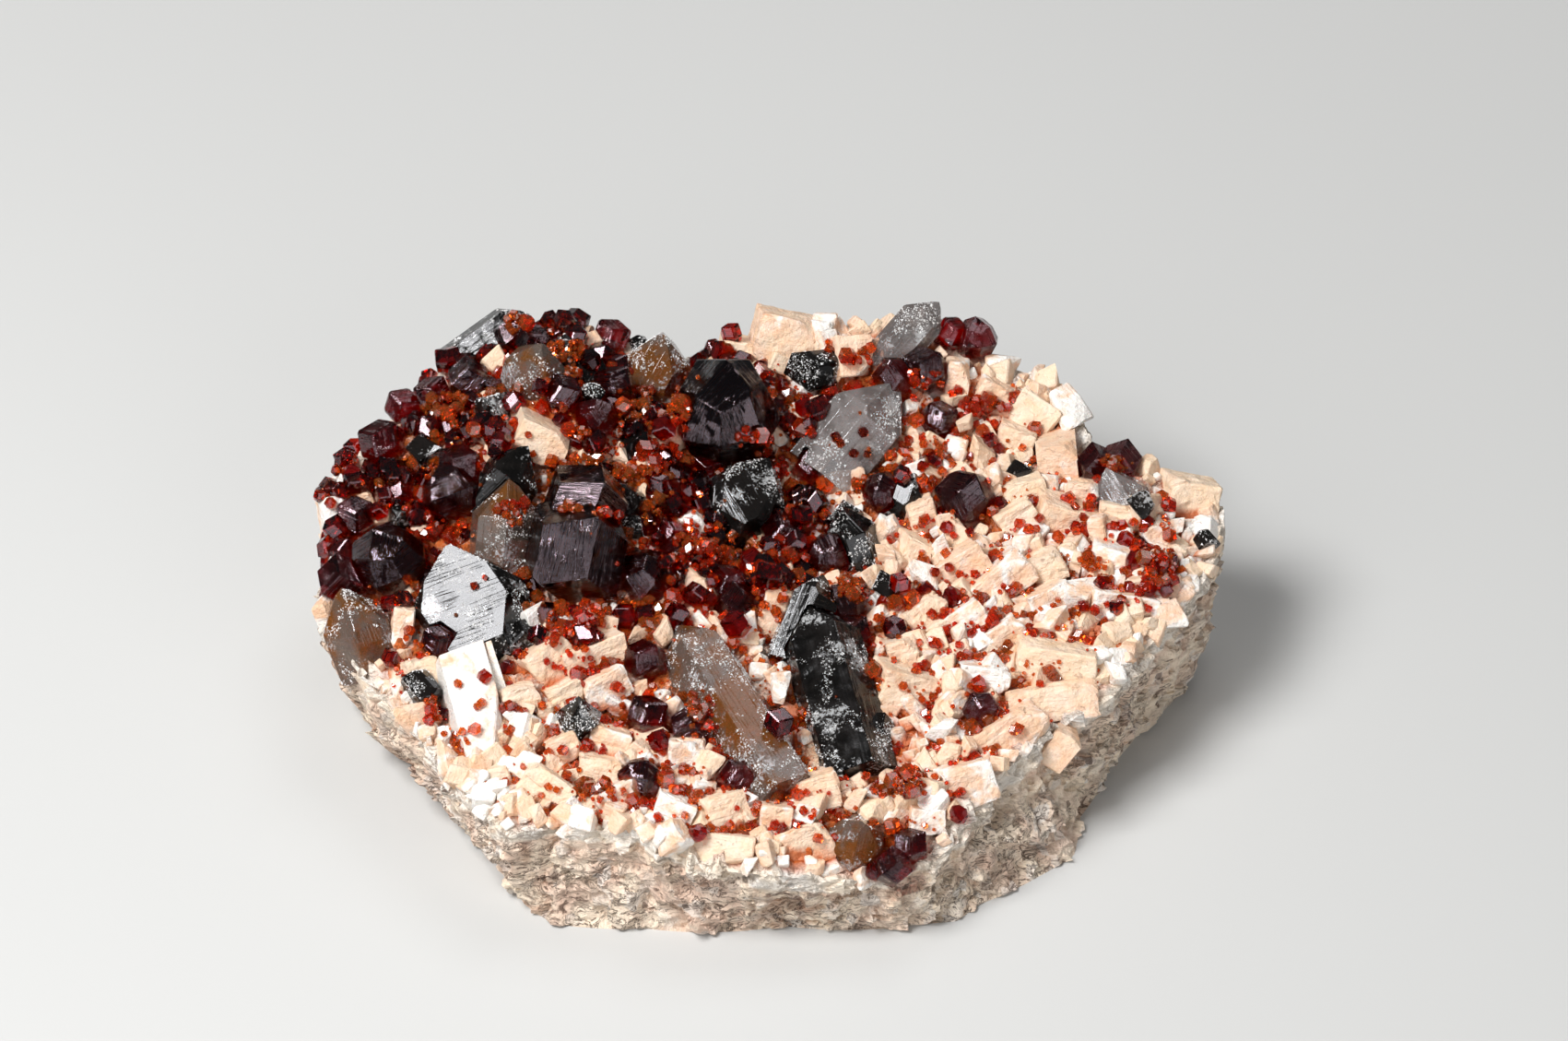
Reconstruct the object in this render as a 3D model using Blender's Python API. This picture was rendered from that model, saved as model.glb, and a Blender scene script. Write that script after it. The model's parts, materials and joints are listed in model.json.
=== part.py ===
"""Garnet in matrix: dark red garnets and smoky quartz grown on a plate of blocky feldspar rock.

The specimen lies on its flat base. +X is to the viewer's right, +Y away from the viewer and +Z up.
The origin is in the base, under the middle of the plate. Tables are in millimetres, and places that
were read off the display view are in its pixels.
"""

import math
from collections import namedtuple
from itertools import permutations, product

import bmesh
import bpy
import numpy as np
from mathutils import Euler, Matrix, Vector, noise

MM = 0.001
SOCKET_GAP = 0.3  # clear space round a crystal in its socket, mm
SAME_POINT = 0.02  # corners of a cut crystal closer than this are one, mm
FLAT_ANGLE = 0.01  # faces that meet at less than this are one, radians
SHORTEST_EDGE = 1e-6  # of a finished piece, m

# The display view: an eye 0.9 m away looks down on the specimen, and 9 pixels are 1 mm at its middle
VIEW_ELEVATION = math.radians(40.0)
VIEW_DISTANCE = 900.0
VIEW_AIM = Vector((1.4, 7.9, 24.4))
PICTURE_MIDDLE = (850.5, 564.5)
PIXELS_PER_MM = 9.0
SIGHT_RANGE = 120.0  # a sight line is searched this far before and behind the middle
HALVINGS = 40

# The plate: where its upper rim and the front of its foot show in the display view
RIM_IN_VIEW = [
    (1327, 572), (1321, 535), (1294, 518), (1238, 511), (1190, 500), (1176, 477), (1165, 446), (1128, 404),
    (1084, 394), (1048, 373), (1004, 356), (950, 354), (905, 352), (855, 350), (818, 360), (765, 387),
    (736, 397), (690, 384), (640, 368), (592, 360), (552, 358), (522, 374), (470, 416), (440, 434),
    (412, 466), (384, 508), (353, 540), (353, 570), (370, 602), (350, 632), (352, 672), (378, 716),
    (404, 746), (455, 802), (482, 836), (526, 886), (551, 909), (600, 898), (690, 904), (760, 938),
    (850, 950), (960, 954), (1004, 940), (1040, 896), (1078, 846), (1140, 792), (1206, 758), (1240, 706),
    (1296, 646), (1320, 604),
]
FOOT_IN_VIEW = [
    (397, 772), (457, 836), (506, 898), (551, 944), (569, 981), (600, 1002), (700, 1007), (850, 1004),
    (1000, 1002), (1038, 999), (1062, 981), (1128, 950), (1165, 928), (1172, 886), (1204, 832),
    (1234, 796), (1290, 738),
]
HIDDEN_FOOT_SHARE = 0.88  # behind, the foot is this much of the rim's distance from the origin
MIDDLE_HEIGHT = 17.0
BACKWARD_RISE = 0.14  # the face climbs away from the viewer
HIDDEN_FROM = 3.0  # the foot is hidden from this far behind its last seen point
Swell = namedtuple("Swell", "x y height reach_x reach_y")
SWELLS = [
    Swell(-27, 27, 9.5, 17, 16),
    Swell(8, 38, 6.0, 20, 11),
    Swell(-10, 33, -3.0, 8, 10),
    Swell(-22, -6, 2.0, 14, 12),
    Swell(38, 6, 1.5, 16, 14),
    Swell(3, 16, -2.0, 9, 12),
    Swell(18, -38, -3.5, 13, 9),
]
PLATE_CELLS = 16
SIDE_LEVELS = (0.14, 0.4, 0.7, 1.0)
FACE_ROUGHNESS, SIDE_ROUGHNESS = 0.8, 1.5
FACE_BUMPS, SIDE_BUMPS = 5.0, 8.0  # size of the roughness
RIM_BAND, RIM_ROUGHNESS = 0.97, 0.4  # outside this share of the way to the rim, the roughness is less
SIDE_BOW = 1.8  # the side leaves the rim steeply and flares as this power of the way down
SIDE_DRIFT = 6.0  # how far the side's roughness drifts from rim to foot
SIDE_FADE = (0.15, 0.7)  # the half wave that calms the side's roughness at rim and foot: start, length

# Garnets
FACE_SHARE = 0.93  # a face's distance from the middle, as a share of half the width
LARGE_GARNET, UNEVENNESS = 6.0, 0.05  # a garnet wider than this has uneven face distances
KITES_BEYOND = 1.07  # in the mixed habit the kite faces only cut the edges of the rhombic ones

# Quartz
PRISM_TO_TIP = math.radians(51.8)  # between the long axis and the normals of the tip faces
WALL_SPREAD = (-0.14, 0.08)  # unevenness of the prism's six walls
TIP_SPREAD = (-0.02, 0.05)  # unevenness of the six tip faces
TIP_STEP = 0.1  # every other tip face lies this much further out

# Feldspar
FELDSPAR_BETA = math.radians(116)  # the lean of the end faces
LEAN_SHARE = (0.2, 0.6)  # how much of that lean turns to the viewer
END_SPREAD, TOP_SPREAD, END_LIFT = 0.1, 0.12, 0.05  # slants of the ends and of the broad face
CORNER_DEPTH = 0.8  # weight of the depth in the slant of a cut corner
CORNER_SHARE = (0.72, 0.84)  # how far out a cut corner lies
SIDE_TURN = 14.0  # largest turn to the left or right, degrees
SEAT_DEPTH = 0.25  # the middle lies this share of the depth below the seat

Garnet = namedtuple("Garnet", "x y across rise habit facing roll tall", defaults=[1.0])
GARNETS = {
    "garnet_great_back": [Garnet(785, 447, 13.6, 5.0, "kite", (1, 1, 1.05), 0)],
    "garnet_great_front": [
        Garnet(625, 598, 11.0, 4.0, "rhomb", (1, 0.75, 0.25), 222, 1.1),
        Garnet(634, 549, 8.8, 4.9, "rhomb", (1, 0.72, 0.25), 214, 1.1),
    ],
    "garnet_left": [Garnet(422, 609, 9.2, 2.8, "kite", (1, 0.7, 0.75), 25)],
    "garnet_middle": [Garnet(703, 625, 6.8, 2.0, "kite", (1, 0.9, 0.4), 50)],
    "garnet_beside_black_quartz": [Garnet(898, 603, 5.6, 1.7, "kite", (1, 0.55, 0.45), 100)],
    "garnet_twins": [
        Garnet(790, 634, 4.4, 1.3, "rhomb", (1, 0.6, 0.2), 30),
        Garnet(800, 656, 4.9, 1.5, "rhomb", (1, 0.2, 0.3), 10),
    ],
    "garnet_below_dark_quartz": [Garnet(850, 578, 5.2, 1.6, "rhomb", (1, 0.8, 0.3), 15)],
    "garnet_right": [Garnet(1047, 539, 6.6, 2.0, "mixed", (1, 1, 0.3), 78)],
    "garnet_dark_right": [Garnet(958, 534, 5.2, 1.6, "kite", (1, 0.5, 0.8), 5)],
    "garnet_maroon": [Garnet(416, 481, 5.6, 1.7, "rhomb", (1, 0.7, 0.1), 65)],
    "garnet_rear_low": [Garnet(1031, 362, 4.2, 1.3, "rhomb", (1, 0.3, 0.8), 20)],
    "garnet_slope_left": [Garnet(437, 441, 4.4, 1.3, "rhomb", (1, 0.9, 0.8), 40)],
    "garnet_slope_right": [Garnet(470, 429, 4.4, 1.3, "rhomb", (1, 0.3, 0.5), 70)],
    "garnet_tall": [Garnet(508, 414, 5.0, 1.5, "rhomb", (1, 0.8, 0.1), 5)],
    "garnet_summit": [
        Garnet(558, 363, 4.4, 2.6, "rhomb", (1, 0.4, 0.6), 0),
        Garnet(579, 372, 4.2, 2.2, "rhomb", (1, 0.9, 0.3), 35),
    ],
    "garnet_back_edge": [Garnet(663, 367, 4.6, 1.4, "rhomb", (1, 0.5, 0.4), 30)],
    "garnet_back_bright": [Garnet(667, 419, 4.8, 1.4, "rhomb", (1, 0.3, 0.2), 60)],
    "garnet_back_red": [Garnet(611, 429, 4.8, 1.4, "rhomb", (1, 0.8, 0.2), 20)],
    "garnet_black": [Garnet(646, 454, 5.2, 1.5, "kite", (1, 0.4, 0.4), 45)],
    "garnet_silver": [
        Garnet(500, 507, 5.2, 1.6, "rhomb", (1, 0.8, 0.2), 50),
        Garnet(489, 534, 7.0, 2.1, "kite", (1, 0.9, 0.1), 20),
    ],
    "garnet_rear_right": [Garnet(1058, 368, 5.4, 1.6, "kite", (1, 0.6, 0.5), 0)],
    "garnet_rear_brown": [
        Garnet(970, 409, 4.6, 1.4, "rhomb", (1, 0.3, 0.9), 10),
        Garnet(1003, 402, 5.4, 1.6, "rhomb", (1, 0.7, 0.4), 60),
    ],
    "garnet_rear_red": [Garnet(1018, 455, 4.4, 1.3, "rhomb", (1, 0.2, 0.7), 30)],
    "garnet_far_right": [
        Garnet(1190, 506, 4.8, 1.4, "rhomb", (1, 0.6, 0.1), 12),
        Garnet(1216, 503, 5.0, 1.4, "rhomb", (1, 0.2, 0.6), 80),
    ],
    "garnet_left_rim": [Garnet(371, 630, 5.8, 1.7, "rhomb", (1, 0.9, 0.6), 10)],
    "garnet_dark_left": [Garnet(385, 560, 4.8, 1.4, "rhomb", (1, 0.6, 0.9), 55)],
    "garnet_front_peak": [Garnet(703, 777, 4.8, 1.4, "rhomb", (1, 0.4, 0.1), 35)],
    "garnet_front_orange": [Garnet(748, 789, 4.6, 1.4, "rhomb", (1, 0.8, 0.5), 0)],
    "garnet_front_dark": [Garnet(694, 845, 5.2, 1.6, "kite", (1, 0.7, 0.3), 75)],
    "garnet_front_pink": [Garnet(797, 844, 4.0, 1.2, "rhomb", (1, 0.4, 0.2), 15)],
    "garnet_lone_right": [Garnet(1064, 770, 4.4, 1.3, "rhomb", (1, 0.9, 0.9), 30)],
    "garnet_centre": [Garnet(880, 508, 4.2, 1.3, "rhomb", (1, 0.2, 0.4), 15)],
    "garnet_orange": [Garnet(766, 509, 4.0, 1.2, "rhomb", (1, 0.9, 0.8), 45)],
    "garnet_red_pair": [
        Garnet(729, 580, 4.0, 1.2, "rhomb", (1, 0.6, 0.6), 25),
        Garnet(739, 601, 4.6, 1.4, "rhomb", (1, 0.8, 0.4), 85),
    ],
    "garnet_between_quartz": [
        Garnet(914, 655, 5.2, 1.6, "kite", (1, 0.3, 0.5), 30),
        Garnet(925, 686, 4.2, 1.3, "rhomb", (1, 0.5, 0.7), 65),
    ],
    "garnet_foot": [
        Garnet(968, 940, 4.2, 1.3, "rhomb", (1, 0.5, 0.4), 0),
        Garnet(988, 918, 4.0, 1.2, "rhomb", (1, 0.3, 0.3), 50),
    ],
    "garnet_low_left": [Garnet(474, 696, 4.0, 1.2, "rhomb", (1, 0.6, 0.7), 40)],
    "garnet_lower_red": [Garnet(700, 716, 4.8, 1.4, "rhomb", (1, 0.9, 0.1), 60)],
}

# Each broad face lies across the tip: its direction in the display view, and its share of half the length
Quartz = namedtuple("Quartz", "x y width length rise points roll broad", defaults=[()])
QUARTZ = {
    "quartz_frosted": Quartz(
        512, 662, 13.0, 19.0, 0.8, (-0.34, 0.3, 0.9), 44, [((-0.24, 0.25, 0.94), 0.42)]
    ),
    "quartz_brown": Quartz(546, 588, 7.4, 15.0, 1.4, (0.1, 0.55, 0.82), 20),
    "quartz_speckled": Quartz(551, 521, 6.4, 10.0, 1.8, (0.5, 0.3, 0.8), 5),
    "quartz_long_brown": Quartz(792, 776, 8.4, 28.0, -0.2, (-0.46, 0.86, 0.2), 30),
    "quartz_long_black": Quartz(905, 752, 9.0, 25.0, 0.4, (-0.22, 0.9, 0.3), 10),
    "quartz_black_shoulder": Quartz(873, 672, 5.6, 12.0, 2.2, (0.34, 0.76, 0.5), 25),
    "quartz_dark_round": Quartz(
        812, 541, 10.4, 13.0, 1.6, (0.35, 0.2, 0.9), 0,
        [((0.1, 0.42, 0.9), 0.56), ((-0.5, 0.3, 0.8), 0.74), ((0.55, 0.6, 0.6), 0.78)],
    ),
    "quartz_grey_rear": Quartz(932, 466, 9.6, 15.0, 0.8, (0.62, 0.55, 0.55), 28),
    "quartz_rear_edge": Quartz(986, 364, 5.2, 11.0, 1.6, (0.66, 0.45, 0.6), 15),
    "quartz_left_edge": Quartz(388, 682, 7.4, 11.0, 0.2, (-0.34, 0.35, 0.88), 20),
    "quartz_behind_garnet": Quartz(926, 590, 6.0, 10.0, 1.4, (-0.3, 0.4, 0.85), 8),
    "quartz_summit": Quartz(530, 372, 5.4, 12.0, 0.4, (0.8, 0.42, 0.4), 0),
    "quartz_smoky_back": Quartz(580, 404, 7.0, 10.0, 0.8, (0.2, -0.1, 0.97), 25),
    "quartz_pyramid": Quartz(712, 404, 8.0, 12.0, 1.4, (0.12, 0.05, 0.99), 30),
    "quartz_right_dark": Quartz(981, 541, 4.6, 8.0, 1.0, (0.3, 0.1, 0.95), 5),
    "quartz_right_rim": Quartz(1216, 540, 6.0, 9.0, 0.4, (-0.4, 0.2, 0.9), 18),
    "quartz_brown_foot": Quartz(929, 914, 6.4, 9.0, 0.2, (0.2, -0.3, 0.93), 22),
}

Block = namedtuple("Block", "x y wide tall deep rise roll tip")
FELDSPARS = {
    "feldspar_cream": Block(583, 477, 6.4, 4.6, 7.0, 1.2, -24, 12),
    "feldspar_white_blade_left": Block(509, 767, 5.4, 14.0, 7.0, 1.2, 14, -26),
    "feldspar_white_blade_right": Block(520, 731, 4.4, 6.6, 6.0, 1.2, 18, -6),
    "feldspar_round_right": Block(1145, 499, 5.0, 4.8, 7.0, 1.2, 4, 16),
}

# Feldspar crystals that are one with the rock
ROCK_BLOCKS = [
    Block(850, 369, 7.6, 6.4, 7.0, 1.2, -14, 8),
    Block(922, 386, 4.6, 5.2, 6.0, 1.0, 6, -8),
    Block(800, 384, 5.0, 3.6, 6.0, 0.6, -14, 10),
    Block(1036, 410, 2.9, 4.6, 5.0, 1.4, -8, 8),
    Block(1078, 432, 5.4, 4.4, 6.0, 0.9, -30, 10),
    Block(1120, 450, 5.8, 4.8, 6.0, 0.8, -34, -4),
    Block(1100, 478, 4.6, 3.6, 5.0, 0.9, -20, 14),
    Block(912, 523, 5.0, 3.4, 5.0, 0.9, 12, 8),
    Block(1000, 562, 3.6, 4.8, 5.0, 1.0, 18, 10),
    Block(1034, 583, 3.2, 4.0, 5.0, 0.8, 28, -8),
    Block(1110, 536, 5.4, 3.4, 5.0, 1.0, 14, 14),
    Block(1172, 536, 4.2, 3.2, 5.0, 0.9, -10, 10),
    Block(1102, 566, 5.0, 4.2, 5.0, 0.9, 30, 6),
    Block(1156, 566, 7.6, 4.2, 5.0, 0.5, -14, 20),
    Block(1214, 562, 5.4, 3.8, 5.0, 0.7, -8, 8),
    Block(1256, 584, 3.4, 4.2, 5.0, 0.7, 34, 8),
    Block(1290, 540, 6.4, 4.6, 6.0, 0.8, -12, 10),
    Block(1036, 619, 7.6, 3.8, 5.0, 0.9, 32, 12),
    Block(1084, 634, 8.2, 4.4, 5.0, 0.9, 34, 10),
    Block(1134, 618, 4.4, 3.8, 5.0, 1.0, 20, 12),
    Block(1210, 613, 7.0, 4.4, 5.0, 0.8, -16, 16),
    Block(1139, 656, 6.0, 4.4, 5.0, 0.9, 30, 10),
    Block(1214, 660, 8.0, 4.4, 5.0, 0.6, -10, 12),
    Block(990, 600, 3.4, 3.8, 5.0, 0.8, -24, 8),
    Block(1002, 668, 5.6, 3.6, 5.0, 0.8, 36, 8),
    Block(1044, 678, 5.8, 4.2, 5.0, 0.9, 34, 4),
    Block(978, 711, 3.8, 4.2, 5.0, 0.9, 10, 10),
    Block(1090, 690, 4.6, 3.8, 5.0, 0.7, 30, 10),
    Block(1142, 722, 9.4, 5.0, 6.0, 1.0, -8, 16),
    Block(1064, 738, 6.0, 4.0, 5.0, 0.8, -6, 8),
    Block(984, 752, 8.0, 5.4, 6.0, 0.7, -16, 10),
    Block(1140, 762, 11.0, 4.4, 6.0, 0.2, 4, 6),
    Block(1088, 802, 11.0, 5.0, 6.0, 0.4, 26, 6),
    Block(1046, 852, 5.6, 5.4, 6.0, 0.4, 18, 8),
    Block(1003, 890, 4.0, 3.4, 5.0, 1.0, -4, 8),
    Block(884, 862, 5.4, 4.6, 5.0, 1.0, 12, 10),
    Block(842, 671, 5.6, 7.6, 6.0, 0.8, -20, 8),
    Block(757, 640, 4.2, 3.8, 5.0, 0.9, -24, 10),
    Block(746, 576, 4.4, 5.0, 5.0, 0.9, 8, 10),
    Block(645, 676, 4.8, 3.0, 5.0, 1.0, -18, 8),
    Block(597, 720, 5.6, 5.4, 5.0, 0.9, 40, 12),
    Block(643, 713, 7.8, 3.8, 5.0, 1.2, 16, 14),
    Block(655, 747, 5.8, 4.0, 5.0, 0.9, 26, 12),
    Block(613, 756, 4.4, 3.4, 5.0, 0.7, 28, 10),
    Block(562, 760, 4.4, 3.4, 5.0, 0.9, 14, 12),
    Block(658, 804, 5.0, 3.6, 5.0, 0.8, -12, 8),
    Block(610, 812, 4.2, 3.4, 5.0, 0.8, 26, 8),
    Block(648, 836, 5.2, 3.8, 5.0, 0.6, -8, 8),
    Block(588, 858, 6.4, 5.4, 6.0, 0.4, -40, 4),
    Block(668, 872, 5.4, 4.6, 5.0, 0.5, 24, 8),
    Block(727, 886, 4.8, 5.2, 5.0, 0.7, -22, 10),
    Block(786, 886, 5.0, 5.6, 5.0, 0.8, 18, 8),
    Block(838, 888, 3.8, 3.6, 5.0, 0.9, -10, 8),
    Block(742, 826, 4.4, 5.2, 5.0, 0.8, -6, 8),
    Block(776, 918, 8.4, 3.4, 5.0, 0.1, -10, 4),
    Block(868, 918, 6.4, 4.6, 5.0, 0.2, 12, 4),
    Block(382, 528, 5.0, 4.4, 5.0, 0.4, -20, 8),
    Block(364, 562, 3.6, 5.4, 5.0, 0.0, 10, 0),
    Block(434, 680, 2.6, 5.0, 5.0, 1.3, -8, 8),
    Block(460, 752, 4.0, 8.6, 6.0, -0.4, 14, 0),
    Block(720, 474, 5.6, 4.6, 5.0, 1.6, 12, 10),
]


def view_basis():
    """The display view's axes as columns: to its right, up in the picture, and towards the eye."""
    sine, cosine = math.sin(VIEW_ELEVATION), math.cos(VIEW_ELEVATION)
    return Matrix(((1, 0, 0), (0, sine, -cosine), (0, cosine, sine))).to_3x3()


def face_height(x, y):
    """Height of the plate's crystal-bearing face: a slope that climbs backward, with broad swells."""
    height = MIDDLE_HEIGHT + BACKWARD_RISE * y
    for swell in SWELLS:
        spread = ((x - swell.x) / swell.reach_x) ** 2 + ((y - swell.y) / swell.reach_y) ** 2
        height += swell.height * math.exp(-spread)
    return height


def seen_point(picture_x, picture_y, surface):
    """The point that shows at this place in the display view, on the surface of height surface(x, y)."""
    basis = view_basis()
    eye = VIEW_AIM + basis.col[2] * VIEW_DISTANCE
    across = (picture_x - PICTURE_MIDDLE[0]) / PIXELS_PER_MM
    upward = (PICTURE_MIDDLE[1] - picture_y) / PIXELS_PER_MM
    on_plane = VIEW_AIM + basis.col[0] * across + basis.col[1] * upward
    sight = (on_plane - eye).normalized()
    near, far = VIEW_DISTANCE - SIGHT_RANGE, VIEW_DISTANCE + SIGHT_RANGE
    for _ in range(HALVINGS):
        middle = (near + far) / 2
        point = eye + sight * middle
        if point.z > surface(point.x, point.y):
            near = middle
        else:
            far = middle
    return eye + sight * near


def seat_of(picture_x, picture_y, rise):
    """The point this far above the plate's face that shows at this place in the display view."""
    return seen_point(picture_x, picture_y, lambda x, y: face_height(x, y) + rise)


def outline_of(points):
    """An outline about the origin: sorted angles, and the distances from the origin at them."""
    outline = sorted((math.atan2(point.y, point.x), math.hypot(point.x, point.y)) for point in points)
    return np.array(outline).T


def reach(outline, angle):
    """An outline's distance from the origin in this direction, straight between its points."""
    return float(np.interp(angle, outline[0], outline[1], period=math.tau))


def material(name, colour, roughness):
    """A plain surface of this colour."""
    made = bpy.data.materials.new(name)
    made.use_nodes = True
    shader = made.node_tree.nodes["Principled BSDF"]
    shader.inputs["Base Color"].default_value = (*colour, 1)
    shader.inputs["Roughness"].default_value = roughness
    shader.inputs["Metallic"].default_value = 0
    return made


def add_object(name, form, collection, finish):
    """Puts the shape in the scene as an object, its millimetres made metres."""
    bmesh.ops.recalc_face_normals(form, faces=form.faces[:])
    bmesh.ops.scale(form, vec=(MM, MM, MM), verts=form.verts[:])
    mesh = bpy.data.meshes.new(name)
    form.to_mesh(mesh)
    form.free()
    made = bpy.data.objects.new(name, mesh)
    if finish:
        mesh.materials.append(finish)
    collection.objects.link(made)
    return made


def cut_crystal(faces, half_size):
    """A convex crystal: a cube cut back by each crystal face, given as its normal and its distance."""
    form = bmesh.new()
    bmesh.ops.create_cube(form, size=2 * half_size)
    for normal, distance in faces:
        direction = Vector(normal).normalized()
        bmesh.ops.bisect_plane(
            form,
            geom=form.verts[:] + form.edges[:] + form.faces[:],
            plane_co=direction * distance,
            plane_no=direction,
            clear_outer=True,
        )
        open_edges = [edge for edge in form.edges if edge.is_boundary]
        if open_edges:
            bmesh.ops.holes_fill(form, edges=open_edges, sides=0)
    bmesh.ops.remove_doubles(form, verts=form.verts[:], dist=SAME_POINT)
    bmesh.ops.dissolve_limit(form, angle_limit=FLAT_ANGLE, verts=form.verts[:], edges=form.edges[:])
    return form


def signed_turns(first, second, third):
    """Every direction that the cube's symmetry makes of this one."""
    return sorted({
        (a * sign_a, b * sign_b, c * sign_c)
        for a, b, c in permutations((first, second, third))
        for sign_a, sign_b, sign_c in product((1, -1), repeat=3)
    })


def garnet_faces(garnet, random, grow):
    """24 kite faces, 12 rhombic faces, or rhombic faces with the kites along their edges."""
    inside = garnet.across / 2 * FACE_SHARE
    uneven = UNEVENNESS if garnet.across > LARGE_GARNET else 0.0
    forms = {
        "kite": [(signed_turns(2, 1, 1), 1.0)],
        "rhomb": [(signed_turns(1, 1, 0), 1.0)],
        "mixed": [(signed_turns(1, 1, 0), 1.0), (signed_turns(2, 1, 1), KITES_BEYOND)],
    }
    upward = (facing_view(garnet.facing, garnet.roll).inverted() @ view_basis()).col[1]
    faces = []
    for normals, share in forms[garnet.habit]:
        for normal in normals:
            taller = 1 + (garnet.tall - 1) * abs(Vector(normal).normalized().dot(upward))
            faces.append((normal, inside * share * taller * (1 + random.uniform(-uneven, uneven)) + grow))
    return faces


def facing_view(facing, roll):
    """Turns a crystal's direction `facing` to the eye with its Z axis upright, then rolls it."""
    towards = Vector(facing).normalized()
    upright = Vector((0, 0, 1))
    upright = (upright - towards * upright.dot(towards)).normalized()
    from_crystal = Matrix((upright.cross(towards), upright, towards)).to_3x3()
    return view_basis() @ Matrix.Rotation(math.radians(roll), 3, "Z") @ from_crystal


def placed(form, turn, place):
    """The shape turned, and moved to its place."""
    bmesh.ops.transform(form, matrix=Matrix.Translation(place) @ turn.to_4x4(), verts=form.verts[:])
    return form


def garnet_form(garnet, seed, grow=0.0):
    """One garnet at its place, each face moved out by `grow`."""
    random = np.random.default_rng(seed)
    form = cut_crystal(garnet_faces(garnet, random, grow), garnet.across)
    return placed(form, facing_view(garnet.facing, garnet.roll), seat_of(garnet.x, garnet.y, garnet.rise))


def quartz_form(quartz, seed, grow=0.0):
    """A six-sided prism with a pointed tip and a flat foot, its middle at its seat."""
    random = np.random.default_rng(seed)
    half = quartz.length / 2
    faces = [((0, 0, -1), half + grow)]
    for side in range(6):
        azimuth = math.tau * side / 6
        wall = quartz.width / 2 * (1 + random.uniform(*WALL_SPREAD))
        faces.append(((math.cos(azimuth), math.sin(azimuth), 0), wall + grow))
        slope = math.sin(PRISM_TO_TIP), math.cos(PRISM_TO_TIP)
        apex = half * (1 + random.uniform(*TIP_SPREAD) + TIP_STEP * (side % 2))
        normal = (slope[0] * math.cos(azimuth), slope[0] * math.sin(azimuth), slope[1])
        faces.append((normal, apex * slope[1] + grow))
    turn = Vector(quartz.points).to_track_quat("Z", "Y").to_matrix()
    turn = turn @ Matrix.Rotation(math.radians(quartz.roll), 3, "Z")
    for direction, share in quartz.broad:
        faces.append((turn.inverted() @ view_basis() @ Vector(direction), half * share + grow))
    form = cut_crystal(faces, quartz.length)
    return placed(form, turn, seat_of(quartz.x, quartz.y, quartz.rise))


def slant(random, most):
    """A random slant to either side."""
    return random.uniform(-most, most)


def block_form(block, seed, grow=0.0):
    """A leaning feldspar block with one or two corners cut, its broad face turned to the viewer."""
    random = np.random.default_rng(seed)
    lean = (math.sin(FELDSPAR_BETA), math.cos(FELDSPAR_BETA) * random.uniform(*LEAN_SHARE))
    half = block.wide / 2, block.tall / 2, block.deep / 2
    faces = [
        ((lean[0], 0, lean[1]), half[0]), ((-lean[0], 0, -lean[1]), half[0]),
        ((slant(random, END_SPREAD), 1, END_LIFT), half[1]),
        ((END_LIFT, -1, slant(random, END_SPREAD)), half[1]),
        ((slant(random, TOP_SPREAD), slant(random, TOP_SPREAD), 1), half[2]), ((0, 0, -1), half[2]),
    ]
    for _ in range(2):
        signs = random.choice((-1, 1), 2)
        corner = Vector((signs[0] / half[0], signs[1] / half[1], CORNER_DEPTH / half[2])).normalized()
        outermost = sum(abs(component) * size for component, size in zip(corner, half))
        faces.append((corner, outermost * random.uniform(*CORNER_SHARE)))
    form = cut_crystal([(normal, distance + grow) for normal, distance in faces], 2 * max(half))
    turn = view_basis() @ Matrix.Rotation(math.radians(block.roll), 3, "Z")
    turn = turn @ Euler((math.radians(block.tip), math.radians(slant(random, SIDE_TURN)), 0)).to_matrix()
    place = seat_of(block.x, block.y, block.rise) - turn.col[2] * block.deep * SEAT_DEPTH
    return placed(form, turn, place)


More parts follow.
